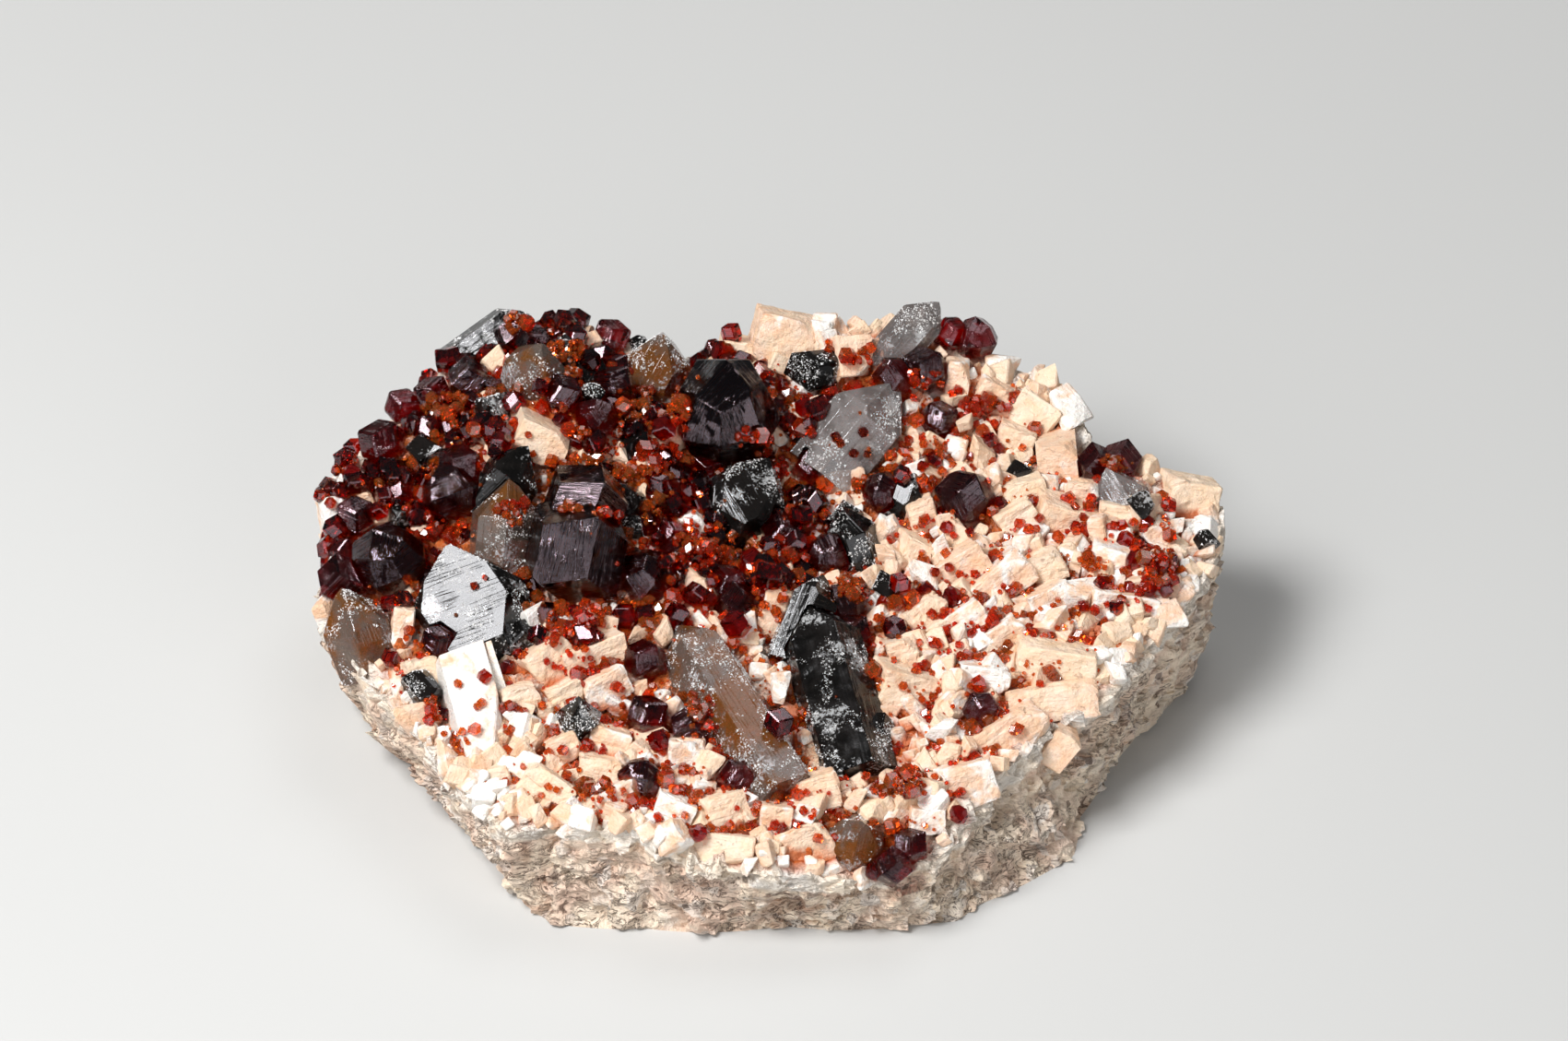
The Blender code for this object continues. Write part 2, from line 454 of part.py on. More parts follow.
def plate_form():
    """The rock: a grid drawn out to the rim makes its face, and rings drawn down from the rim its sides."""
    rim_points = [seen_point(x, y, face_height) for x, y in RIM_IN_VIEW]
    rim_outline = outline_of(rim_points)
    foot_points = [seen_point(x, y, lambda *_: 0.0) for x, y in FOOT_IN_VIEW]
    furthest = max(point.y for point in foot_points)
    foot_points += [point * HIDDEN_FOOT_SHARE for point in rim_points if point.y > furthest + HIDDEN_FROM]
    foot_outline = outline_of(foot_points)
    form = bmesh.new()
    bmesh.ops.create_grid(form, x_segments=PLATE_CELLS, y_segments=PLATE_CELLS, size=1.0)
    for vertex in form.verts:
        a, b = vertex.co.x, vertex.co.y
        angle, share = math.atan2(b, a), max(abs(a), abs(b))
        radius = share * reach(rim_outline, angle)
        x, y = radius * math.cos(angle), radius * math.sin(angle)
        rough = noise.noise(Vector((x / FACE_BUMPS, y / FACE_BUMPS, 1.0))) * FACE_ROUGHNESS
        vertex.co = (x, y, face_height(x, y) + rough * (1 if share < RIM_BAND else RIM_ROUGHNESS))
    rim = [vertex for vertex in form.verts if vertex.is_boundary]
    rim_place = {vertex: (math.atan2(vertex.co.y, vertex.co.x), vertex.co.z) for vertex in rim}
    ring_edges = [edge for edge in form.edges if edge.is_boundary]
    for level in SIDE_LEVELS:
        drawn = bmesh.ops.extrude_edge_only(form, edges=ring_edges)["geom"]
        ring_edges = [item for item in drawn if isinstance(item, bmesh.types.BMEdge)]
        ring_edges = [edge for edge in ring_edges if edge.is_boundary]
        next_place = {}
        for vertex in {end for edge in ring_edges for end in edge.verts}:
            above = next(
                edge.other_vert(vertex) for edge in vertex.link_edges if edge.other_vert(vertex) in rim_place
            )
            angle, rim_height = rim_place[above]
            next_place[vertex] = (angle, rim_height)
            edges = reach(rim_outline, angle), reach(foot_outline, angle)
            vertex.co = side_point(angle, edges, rim_height, level)
        rim_place = next_place
    bmesh.ops.holes_fill(form, edges=[edge for edge in form.edges if edge.is_boundary], sides=0)
    bmesh.ops.triangulate(form, faces=form.faces[:])
    return form


def side_point(angle, edges, rim_height, level):
    """A point of the broken side between the two edges, the rim at level 0 and the foot at level 1."""
    radius = edges[0] + (edges[1] - edges[0]) * level**SIDE_BOW
    x, y = radius * math.cos(angle), radius * math.sin(angle)
    rough = noise.noise(Vector((x / SIDE_BUMPS, y / SIDE_BUMPS, SIDE_DRIFT * level))) * SIDE_ROUGHNESS
    radius += rough * math.sin(math.pi * (SIDE_FADE[0] + SIDE_FADE[1] * level))
    return (radius * math.cos(angle), radius * math.sin(angle), rim_height * (1 - level))


def combine(target, other, operation):
    """A Boolean modifier on the target."""
    modifier = target.modifiers.new(f"{operation.lower()} {other.name}", "BOOLEAN")
    modifier.operation = operation
    modifier.object = other
    modifier.solver = "EXACT"


def make_helper(helper):
    """A shape that only cuts or joins others: never rendered, and drawn as wire."""
    helper.hide_render = True
    helper.display_type = "WIRE"
    return helper


def boxes_meet(first, second):
    """Whether two objects' boxes overlap. Both meshes hold their places, so the objects aren't moved."""
    low_a, high_a = box_of(first)
    low_b, high_b = box_of(second)
    return bool((low_a <= high_b).all() and (low_b <= high_a).all())


def box_of(made):
    """Lowest and highest corner of a mesh object's own vertices."""
    corners = np.array([vertex.co for vertex in made.data.vertices])
    return corners.min(0), corners.max(0)


def settle(made):
    """Applies the modifiers, and drops the crumbs that cutting left loose from the main body."""
    graph = bpy.context.evaluated_depsgraph_get()
    mesh = bpy.data.meshes.new_from_object(made.evaluated_get(graph))
    made.modifiers.clear()
    form = bmesh.new()
    form.from_mesh(mesh)
    bodies, unseen = [], set(form.verts)
    while unseen:
        body, waiting = set(), [unseen.pop()]
        while waiting:
            vertex = waiting.pop()
            body.add(vertex)
            joined = {edge.other_vert(vertex) for edge in vertex.link_edges} & unseen
            unseen -= joined
            waiting.extend(joined)
        bodies.append(body)
    main = max(bodies, key=len)
    bmesh.ops.delete(form, geom=[vertex for vertex in form.verts if vertex not in main], context="VERTS")
    bmesh.ops.dissolve_degenerate(form, dist=SHORTEST_EDGE, edges=form.edges[:])
    form.to_mesh(mesh)
    form.free()
    made.data = mesh


def build_crystals(pieces, cutters, finishes):
    """Every separate crystal as an object, and a slightly larger copy of each that cuts its socket."""
    plans = [(name, garnets, garnet_form, "garnet") for name, garnets in GARNETS.items()]
    plans += [(name, [quartz], quartz_form, "smoky quartz") for name, quartz in QUARTZ.items()]
    plans += [(name, [block], block_form, "feldspar") for name, block in FELDSPARS.items()]
    made, sockets = [], []
    for number, (name, members, shape, finish) in enumerate(plans):
        seeds = [100 * number + index for index in range(len(members))]
        crystal = add_object(name, shape(members[0], seeds[0]), pieces, finishes[finish])
        own_sockets = []
        for member, seed in zip(members, seeds):
            form = shape(member, seed, SOCKET_GAP)
            own_sockets.append(make_helper(add_object(f"{name} socket", form, cutters, None)))
        for member, seed in zip(members[1:], seeds[1:]):
            twin = make_helper(add_object(f"{name} twin", shape(member, seed), cutters, None))
            combine(crystal, twin, "UNION")
        for socket in sockets:
            if boxes_meet(crystal, socket):
                combine(crystal, socket, "DIFFERENCE")
        sockets += own_sockets
        made.append(crystal)
    return made, sockets


def build():
    """The whole specimen."""
    for old in list(bpy.data.objects):
        bpy.data.objects.remove(old)
    pieces = bpy.data.collections.new("garnet in matrix")
    cutters = bpy.data.collections.new("cutters")
    for collection in (pieces, cutters):
        bpy.context.scene.collection.children.link(collection)
    finishes = {
        "rock": material("feldspar rock", (0.72, 0.60, 0.50), 0.8),
        "garnet": material("garnet", (0.20, 0.015, 0.01), 0.12),
        "smoky quartz": material("smoky quartz", (0.09, 0.08, 0.075), 0.15),
        "feldspar": material("feldspar", (0.85, 0.72, 0.60), 0.45),
    }
    crystals, sockets = build_crystals(pieces, cutters, finishes)
    matrix = add_object("matrix", plate_form(), pieces, finishes["rock"])
    for number, block in enumerate(ROCK_BLOCKS):
        form = block_form(block, 9000 + number)
        combine(matrix, make_helper(add_object(f"rock block {number}", form, cutters, None)), "UNION")
    for socket in sockets:
        combine(matrix, socket, "DIFFERENCE")
    for made in crystals + [matrix]:
        settle(made)


build()
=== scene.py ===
"""Garnet in matrix, dressed: glassy garnets and smoky quartz on a plate of broken feldspar rock.

Run as a script, it builds each piece with its own operator. Sizes in the tables are millimetres, and
places that were read off the display view are in its pixels.
"""

import json
import math
from itertools import combinations, permutations, product

import bmesh
import bpy
import numpy as np
from bpy.props import FloatProperty, FloatVectorProperty, IntProperty, PointerProperty
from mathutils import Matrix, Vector
from mathutils.bvhtree import BVHTree

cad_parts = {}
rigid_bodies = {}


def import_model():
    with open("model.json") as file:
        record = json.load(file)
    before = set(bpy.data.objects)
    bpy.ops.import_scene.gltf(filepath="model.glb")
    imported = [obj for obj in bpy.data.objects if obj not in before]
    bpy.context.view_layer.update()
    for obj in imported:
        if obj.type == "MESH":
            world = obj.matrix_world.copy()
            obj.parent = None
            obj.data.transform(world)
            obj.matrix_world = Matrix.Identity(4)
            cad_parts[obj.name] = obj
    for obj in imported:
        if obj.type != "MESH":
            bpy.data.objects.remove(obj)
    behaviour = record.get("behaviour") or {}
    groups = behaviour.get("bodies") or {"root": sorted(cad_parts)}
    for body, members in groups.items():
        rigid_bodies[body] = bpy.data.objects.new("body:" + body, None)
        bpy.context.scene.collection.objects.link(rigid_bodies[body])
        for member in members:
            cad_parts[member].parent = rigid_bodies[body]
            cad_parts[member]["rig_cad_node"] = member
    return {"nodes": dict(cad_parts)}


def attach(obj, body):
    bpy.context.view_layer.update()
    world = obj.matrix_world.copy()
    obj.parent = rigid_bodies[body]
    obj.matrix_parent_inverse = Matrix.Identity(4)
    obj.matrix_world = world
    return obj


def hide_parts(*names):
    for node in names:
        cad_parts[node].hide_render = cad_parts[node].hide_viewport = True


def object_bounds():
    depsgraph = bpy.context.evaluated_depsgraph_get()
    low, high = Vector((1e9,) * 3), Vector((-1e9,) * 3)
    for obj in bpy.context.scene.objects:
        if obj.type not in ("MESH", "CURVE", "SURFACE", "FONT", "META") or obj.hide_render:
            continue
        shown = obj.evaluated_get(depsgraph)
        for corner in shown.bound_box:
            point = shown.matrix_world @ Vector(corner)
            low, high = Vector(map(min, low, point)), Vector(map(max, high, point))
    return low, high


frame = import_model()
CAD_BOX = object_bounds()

bl_info = {
    "name": "Garnet in Matrix",
    "version": (1, 0, 0),
    "blender": (4, 5, 0),
    "location": "View3D > Sidebar > Specimen",
    "description": "Builds a mineral specimen: garnets and smoky quartz on feldspar rock",
    "category": "Object",
}

MM = 0.001
BOX_LOW, BOX_HIGH = np.array(CAD_BOX) / MM
BOX_MARGIN = 0.01  # moved points are held this far inside the frame's box

# The display view: an eye 0.9 m away looks down on the specimen, and 9 pixels are 1 mm at its middle
VIEW_ELEVATION = math.radians(40.0)
VIEW_DISTANCE = 900.0
VIEW_AIM = np.array((1.4, 7.9, 24.4))
PICTURE_MIDDLE = (850.5, 564.5)
PICTURE_WIDTH = 1701
PIXELS_PER_MM = 9.0
SENSOR = 36.0
RIGHT = np.array((1.0, 0.0, 0.0))
UP = np.array((0.0, math.sin(VIEW_ELEVATION), math.cos(VIEW_ELEVATION)))
TOWARDS = np.array((0.0, -math.cos(VIEW_ELEVATION), math.sin(VIEW_ELEVATION)))
VIEW_AXES = np.array((RIGHT, UP, TOWARDS)).T
EYE = VIEW_AIM + TOWARDS * VIEW_DISTANCE
SIGHT_RANGE = 120.0  # a sight line is searched this far before and behind the middle
HALVINGS = 40

# The plate, as the frame has it
RIM_IN_VIEW = [
    (1327, 572), (1321, 535), (1294, 518), (1238, 511), (1190, 500), (1176, 477), (1165, 446), (1128, 404),
    (1084, 394), (1048, 373), (1004, 356), (950, 354), (905, 352), (855, 350), (818, 360), (765, 387),
    (736, 397), (690, 384), (640, 368), (592, 360), (552, 358), (522, 374), (470, 416), (440, 434),
    (412, 466), (384, 508), (353, 540), (353, 570), (370, 602), (350, 632), (352, 672), (378, 716),
    (404, 746), (455, 802), (482, 836), (526, 886), (551, 909), (600, 898), (690, 904), (760, 938),
    (850, 950), (960, 954), (1004, 940), (1040, 896), (1078, 846), (1140, 792), (1206, 758), (1240, 706),
    (1296, 646), (1320, 604),
]
FOOT_IN_VIEW = [
    (397, 772), (457, 836), (506, 898), (551, 944), (569, 981), (600, 1002), (700, 1007), (850, 1004),
    (1000, 1002), (1038, 999), (1062, 981), (1128, 950), (1165, 928), (1172, 886), (1204, 832),
    (1234, 796), (1290, 738),
]
HIDDEN_FOOT_SHARE = 0.88  # behind, the foot is this much of the rim's distance from the origin
HIDDEN_FROM = 3.0  # the foot is hidden from this far behind its last seen point
MIDDLE_HEIGHT = 17.0
BACKWARD_RISE = 0.14  # the face climbs away from the viewer
# Broad swells of the face: x, y, height, reach along x, reach along y
SWELLS = [
    (-27, 27, 9.5, 17, 16), (8, 38, 6.0, 20, 11), (-10, 33, -3.0, 8, 10), (-22, -6, 2.0, 14, 12),
    (38, 6, 1.5, 16, 14), (3, 16, -2.0, 9, 12), (18, -38, -3.5, 13, 9),
]

# Feldspar blocks
FELDSPAR_BETA = math.radians(116)  # the lean of the end faces
LEAN_SHARE = (0.2, 0.6)  # how much of that lean turns to the viewer
END_SPREAD, TOP_SPREAD, END_LIFT = 0.1, 0.12, 0.05  # slants of the ends and of the broad face
CORNER_DEPTH = 0.8  # weight of the depth in the slant of a cut corner
CORNER_SHARE = (0.72, 0.84)  # how far out a cut corner lies
SIDE_TURN = 14.0  # largest turn to the left or right, degrees
SEAT_DEPTH = 0.25  # the middle lies this share of the depth below the seat
BLOCK_CELLS = 13  # grid cells along each side of a block
WEAR = (16, 34)  # power of the worn form: the lower, the rounder the edges
WORN_FROM = 0.82  # edges look worn where the second nearest plane is this near, as a share of the first
SHIFT = 40.0  # crystals take their grain from places up to this far apart

# Feldspar crystals of the rock: x, y, wide, tall, deep, rise, roll, tip
ROCK_BLOCKS = [
    (850, 369, 7.6, 6.4, 7.0, 1.2, -14, 8), (922, 386, 4.6, 5.2, 6.0, 1.0, 6, -8),
    (800, 384, 5.0, 3.6, 6.0, 0.6, -14, 10), (1036, 410, 2.9, 4.6, 5.0, 1.4, -8, 8),
    (1078, 432, 5.4, 4.4, 6.0, 0.9, -30, 10), (1120, 450, 5.8, 4.8, 6.0, 0.8, -34, -4),
    (1100, 478, 4.6, 3.6, 5.0, 0.9, -20, 14), (912, 523, 5.0, 3.4, 5.0, 0.9, 12, 8),
    (1000, 562, 3.6, 4.8, 5.0, 1.0, 18, 10), (1034, 583, 3.2, 4.0, 5.0, 0.8, 28, -8),
    (1110, 536, 5.4, 3.4, 5.0, 1.0, 14, 14), (1172, 536, 4.2, 3.2, 5.0, 0.9, -10, 10),
    (1102, 566, 5.0, 4.2, 5.0, 0.9, 30, 6), (1156, 566, 7.6, 4.2, 5.0, 0.5, -14, 20),
    (1214, 562, 5.4, 3.8, 5.0, 0.7, -8, 8), (1256, 584, 3.4, 4.2, 5.0, 0.7, 34, 8),
    (1290, 540, 6.4, 4.6, 6.0, 0.8, -12, 10), (1036, 619, 7.6, 3.8, 5.0, 0.9, 32, 12),
    (1084, 634, 8.2, 4.4, 5.0, 0.9, 34, 10), (1134, 618, 4.4, 3.8, 5.0, 1.0, 20, 12),
    (1210, 613, 7.0, 4.4, 5.0, 0.8, -16, 16), (1139, 656, 6.0, 4.4, 5.0, 0.9, 30, 10),
    (1214, 660, 8.0, 4.4, 5.0, 0.6, -10, 12), (990, 600, 3.4, 3.8, 5.0, 0.8, -24, 8),
    (1002, 668, 5.6, 3.6, 5.0, 0.8, 36, 8), (1044, 678, 5.8, 4.2, 5.0, 0.9, 34, 4),
    (978, 711, 3.8, 4.2, 5.0, 0.9, 10, 10), (1090, 690, 4.6, 3.8, 5.0, 0.7, 30, 10),
    (1142, 722, 9.4, 5.0, 6.0, 1.0, -8, 16), (1064, 738, 6.0, 4.0, 5.0, 0.8, -6, 8),
    (984, 752, 8.0, 5.4, 6.0, 0.7, -16, 10), (1140, 762, 11.0, 4.4, 6.0, 0.2, 4, 6),
    (1088, 802, 11.0, 5.0, 6.0, 0.4, 26, 6), (1046, 852, 5.6, 5.4, 6.0, 0.4, 18, 8),
    (1003, 890, 4.0, 3.4, 5.0, 1.0, -4, 8), (884, 862, 5.4, 4.6, 5.0, 1.0, 12, 10),
    (842, 671, 5.6, 7.6, 6.0, 0.8, -20, 8), (757, 640, 4.2, 3.8, 5.0, 0.9, -24, 10),
    (746, 576, 4.4, 5.0, 5.0, 0.9, 8, 10), (645, 676, 4.8, 3.0, 5.0, 1.0, -18, 8),
    (597, 720, 5.6, 5.4, 5.0, 0.9, 40, 12), (643, 713, 7.8, 3.8, 5.0, 1.2, 16, 14),
    (655, 747, 5.8, 4.0, 5.0, 0.9, 26, 12), (613, 756, 4.4, 3.4, 5.0, 0.7, 28, 10),
    (562, 760, 4.4, 3.4, 5.0, 0.9, 14, 12), (658, 804, 5.0, 3.6, 5.0, 0.8, -12, 8),
    (610, 812, 4.2, 3.4, 5.0, 0.8, 26, 8), (648, 836, 5.2, 3.8, 5.0, 0.6, -8, 8),
    (588, 858, 6.4, 5.4, 6.0, 0.4, -40, 4), (668, 872, 5.4, 4.6, 5.0, 0.5, 24, 8),
    (727, 886, 4.8, 5.2, 5.0, 0.7, -22, 10), (786, 886, 5.0, 5.6, 5.0, 0.8, 18, 8),
    (838, 888, 3.8, 3.6, 5.0, 0.9, -10, 8), (742, 826, 4.4, 5.2, 5.0, 0.8, -6, 8),
    (776, 918, 8.4, 3.4, 5.0, 0.1, -10, 4), (868, 918, 6.4, 4.6, 5.0, 0.2, 12, 4),
    (382, 528, 5.0, 4.4, 5.0, 0.4, -20, 8), (364, 562, 3.6, 5.4, 5.0, 0.0, 10, 0),
    (434, 680, 2.6, 5.0, 5.0, 1.3, -8, 8), (460, 752, 4.0, 8.6, 6.0, -0.4, 14, 0),
    (720, 474, 5.6, 4.6, 5.0, 1.6, 12, 10),
]

# Small garnets that show one by one: x, y, size
SMALL_GARNETS = [
    (641, 391, 2.6), (504, 463, 3.0), (560, 440, 2.6), (590, 423, 2.2), (497, 435, 2.2), (530, 420, 2.6),
    (573, 471, 0.9), (540, 495, 2.0), (383, 514, 2.4), (400, 517, 2.2), (412, 534, 2.0), (426, 515, 3.8),
    (819, 616, 3.2), (844, 790, 3.6), (867, 474, 3.2), (875, 443, 2.4), (872, 537, 2.6), (855, 470, 1.6),
    (880, 462, 1.8), (908, 475, 1.2), (935, 468, 1.3), (913, 482, 1.0), (925, 491, 1.2), (940, 492, 0.9),
    (980, 517, 2.2), (1015, 505, 2.4), (1002, 508, 1.4), (1070, 480, 1.8), (1085, 485, 1.4),
    (1050, 495, 1.3), (1080, 545, 1.8), (1028, 573, 1.6), (1050, 578, 1.1), (1127, 562, 1.1),
    (1166, 552, 1.0), (1175, 560, 1.0), (1183, 550, 1.1), (1222, 585, 1.9), (1232, 588, 1.3),
    (1240, 590, 1.4), (1245, 565, 1.6), (1272, 582, 1.1), (1208, 663, 1.8), (1176, 655, 1.4),
    (1030, 615, 1.2), (1013, 622, 1.2), (1035, 645, 2.4), (1002, 643, 2.4), (973, 689, 3.0),
    (980, 634, 2.6), (962, 650, 1.8), (1195, 637, 1.9), (1225, 635, 1.4), (716, 807, 2.6), (758, 904, 2.2),
    (985, 858, 2.6), (1037, 882, 2.2), (943, 947, 2.0), (430, 712, 2.2), (548, 723, 1.8), (526, 735, 1.6),
    (485, 773, 1.6), (792, 590, 2.4), (733, 548, 1.6), (825, 650, 2.0), (763, 527, 2.0), (700, 430, 2.2),
    (740, 445, 1.6), (650, 695, 1.6), (1235, 610, 2.2), (1255, 620, 2.4), (1268, 606, 2.0),
    (1246, 636, 2.2), (1262, 640, 1.8), (1278, 614, 1.6), (1240, 600, 1.4), (866, 566, 2.8),
    (756, 600, 2.2), (716, 585, 1.8), (721, 611, 1.8), (763, 612, 1.6), (782, 566, 2.0),
]
# Small dark quartz chips: x, y, size
DARK_CHIPS = [
    (886, 408, 4.6), (627, 785, 4.0), (532, 447, 4.0), (465, 491, 4.2), (611, 385, 4.4), (1308, 589, 2.6),
    (456, 748, 4.6), (1102, 512, 3.2), (690, 490, 3.0), (555, 575, 3.4),
    (680, 545, 4.0), (686, 575, 3.2), (640, 405, 3.6), (955, 790, 3.0), (960, 640, 3.0), (1240, 545, 3.0),
    (920, 560, 3.4), (565, 690, 3.4), (545, 700, 3.0), (436, 560, 2.6), (640, 430, 3.0), (690, 380, 3.2),
]
# Thick crusts of tiny orange garnets: x, y, reach across, reach up, all in pixels of the view
ORANGE_CRUSTS = [
    (555, 557, 17, 13), (611, 675, 18, 18), (820, 480, 14, 13), (741, 447, 10, 20), (562, 352, 14, 10),
    (640, 668, 24, 12), (756, 596, 26, 22), (1255, 616, 24, 22), (1208, 503, 22, 8), (924, 640, 14, 16),
    (700, 500, 16, 16), (760, 770, 16, 24), (980, 850, 22, 16), (900, 885, 22, 8), (1004, 412, 22, 12),
    (486, 440, 30, 14), (650, 860, 30, 10), (556, 770, 16, 6), (1186, 610, 16, 10), (616, 380, 20, 12),
    (620, 553, 15, 3), (655, 557, 12, 3), (812, 476, 14, 12), (738, 448, 9, 18), (600, 700, 10, 8),
    (500, 802, 9, 12), (521, 768, 5, 6), (496, 742, 4, 4), (468, 770, 7, 16),
]


# Settings


def colour(name, description, default):
    """A colour setting."""
    return FloatVectorProperty(
        name=name, description=description, default=default, size=3, min=0.0, max=1.0, subtype="COLOR"
    )


def amount(name, description, default, unit="NONE"):
    """A setting of one number."""
    return FloatProperty(name=name, description=description, default=default, unit=unit)


class RockSettings(bpy.types.PropertyGroup):
    """The plate of rock."""

    chunk: amount("Chunk", "Size of the broken faces", 4.6 * MM, "LENGTH")
    relief: amount("Relief", "Depth of the broken faces", 1.0 * MM, "LENGTH")
    grey: colour("Grey", "Colour of the broken sides", (0.76, 0.56, 0.44))
    cream: colour("Cream", "Colour of their warm patches", (0.90, 0.76, 0.60))
    pale: colour("Pale", "Colour of the pale grains", (0.86, 0.80, 0.74))
    brown: colour("Brown", "Colour of the brown patches", (0.42, 0.22, 0.13))
    # Painted shade: the colour that the cracks and pits take on the pale edge
    veins: colour("Crack shade", "Colour of the veins in the pale edge", (0.40, 0.20, 0.10))
    # The colour of the dark grains, and of the painted shade in the pits and cracks of the sides
    dark: colour("Dark", "Colour of pits and dark grains", (0.14, 0.08, 0.055))


class FeldsparSettings(bpy.types.PropertyGroup):
    """The feldspar crystals."""

    cream: colour("Cream", "Colour of the plain crystals", (0.78, 0.56, 0.37))
    peach: colour("Peach", "Colour of the warm crystals", (0.76, 0.46, 0.28))
    white: colour("White", "Colour of the frosted crystals", (0.84, 0.80, 0.75))
    rust: colour("Rust", "Colour of the stain in the gaps", (0.52, 0.11, 0.012))
    # Painted shade: the dark colour given to the small pits
    pits: colour("Pits", "Colour of the small pits", (0.22, 0.13, 0.09))
    spacing: amount("Spacing", "Distance between small crystals", 1.4 * MM, "LENGTH")


class GarnetSettings(bpy.types.PropertyGroup):
    """The garnets."""

    passes: colour("Passes", "Light that a large crystal lets through", (0.90, 0.45, 0.02))
    density: amount("Density", "Absorption of a large crystal, per metre", 3500.0)
    tiny_passes: colour("Tiny passes", "Light that a tiny crystal lets through", (0.995, 0.30, 0.02))
    tiny_density: amount("Tiny density", "Absorption of a tiny crystal, per metre", 500.0)
    tiny: IntProperty(name="Tiny garnets", description="How many fill the gaps", default=3400)


class QuartzSettings(bpy.types.PropertyGroup):
    """The smoky quartz."""

    black: amount("Black", "Absorption of the black crystals, per metre", 700.0)
    brown: amount("Brown", "Absorption of the brown crystals, per metre", 520.0)
    grey: amount("Grey", "Absorption of the grey crystals, per metre", 200.0)
    flecks: IntProperty(name="Flecks", description="How many white specks there are", default=36000)


class StageSettings(bpy.types.PropertyGroup):
    """Floor and light."""

    floor: colour("Floor", "Colour of the floor", (0.55, 0.55, 0.54))
    key: amount("Key", "Power of the main light", 6.8, "POWER")
    front: amount("Front", "Power of the front light", 1.6, "POWER")
    fill: amount("Fill", "Power of the fill light", 1.7, "POWER")
    back: amount("Back", "Power of the back light", 1.1, "POWER")


# Places and noise


def face_height(x, y):
    """Height of the plate's face: a slope that climbs backward, plus one Gaussian bump for each swell."""
    height = MIDDLE_HEIGHT + BACKWARD_RISE * y
    for swell_x, swell_y, rise, reach_x, reach_y in SWELLS:
        away = ((x - swell_x) / reach_x) ** 2 + ((y - swell_y) / reach_y) ** 2
        height = height + rise * np.exp(-away)
    return height


def sight_lines(places):
    """Directions from the eye through these places of the display view."""
    places = np.asarray(places, float)
    across = (places[:, 0] - PICTURE_MIDDLE[0]) / PIXELS_PER_MM
    upward = (PICTURE_MIDDLE[1] - places[:, 1]) / PIXELS_PER_MM
    lines = VIEW_AIM + np.outer(across, RIGHT) + np.outer(upward, UP) - EYE
    return lines / np.linalg.norm(lines, axis=1)[:, None]


def seen_points(places, surface):
    """Where the sight lines meet the surface of height surface(x, y), by halving the distance."""
    lines = sight_lines(places)
    near = np.full(len(lines), VIEW_DISTANCE - SIGHT_RANGE)
    far = np.full(len(lines), VIEW_DISTANCE + SIGHT_RANGE)
    for _ in range(HALVINGS):
        middle = (near + far) / 2
        points = EYE + lines * middle[:, None]
        above = points[:, 2] > surface(points[:, 0], points[:, 1])
        near, far = np.where(above, middle, near), np.where(above, far, middle)
    return EYE + lines * near[:, None]


def picture_places(points):
    """Where points show in the display view: their offsets along the view's axes over their distance."""
    offset = points - EYE
    away = -(offset @ TOWARDS) / VIEW_DISTANCE
    return np.column_stack((
        PICTURE_MIDDLE[0] + PIXELS_PER_MM * (offset @ RIGHT) / away,
        PICTURE_MIDDLE[1] - PIXELS_PER_MM * (offset @ UP) / away,
    ))


def outline_of(points):
    """An outline about the origin: sorted angles, and the distances from the origin at them."""
    angles, radii = np.arctan2(points[:, 1], points[:, 0]), np.hypot(points[:, 0], points[:, 1])
    order = np.argsort(angles)
    return angles[order], radii[order]


def plate_outlines():
    """The outlines of the plate's rim and of its foot."""
    rim = seen_points(RIM_IN_VIEW, face_height)
    foot = seen_points(FOOT_IN_VIEW, lambda x, y: 0 * x)
    hidden = rim[rim[:, 1] > foot[:, 1].max() + HIDDEN_FROM] * HIDDEN_FOOT_SHARE
    return outline_of(rim), outline_of(np.vstack((foot, hidden)))


def reach(outline, angles):
    """An outline's distance from the origin, straight between its points."""
    return np.interp(angles, outline[0], outline[1], period=math.tau)


def way_inside_rim(points):
    """How far points lie inside the plate's rim, measured along the line from its middle."""
    rim, _ = plate_outlines()
    return reach(rim, np.arctan2(points[:, 1], points[:, 0])) - np.hypot(points[:, 0], points[:, 1])


def scatter_bits(cells, seed):
    """Four numbers from 0 to 1 for each whole-number lattice cell, by mixing its three coordinates."""
    mixed = (cells[:, 0] * 73856093) ^ (cells[:, 1] * 19349663) ^ (cells[:, 2] * 83492791)
    mixed = (mixed + seed * 7919 + 12345) & 0x7FFFFFFF
    numbers = []
    for _ in range(4):
        mixed = (mixed ^ (mixed >> 15)) * 73244475 & 0x7FFFFFFF
        mixed = (mixed ^ (mixed >> 13)) * 19990303 & 0x7FFFFFFF
        numbers.append((mixed & 0xFFFF) / 65535.0)
    return np.column_stack(numbers)


def smooth_noise(points, size, seed):
    """Lattice noise from -1 to 1: the cell corners' numbers, blended by the smooth step of the place."""
    at = points / size
    base = np.floor(at).astype(np.int64)
    inside = at - base
    inside = inside * inside * (3 - 2 * inside)
    total = np.zeros(len(points))
    for corner in product((0, 1), repeat=3):
        weight = np.where(corner, inside, 1 - inside).prod(1)
        total += weight * (scatter_bits(base + corner, seed)[:, 0] * 2 - 1)
    return total


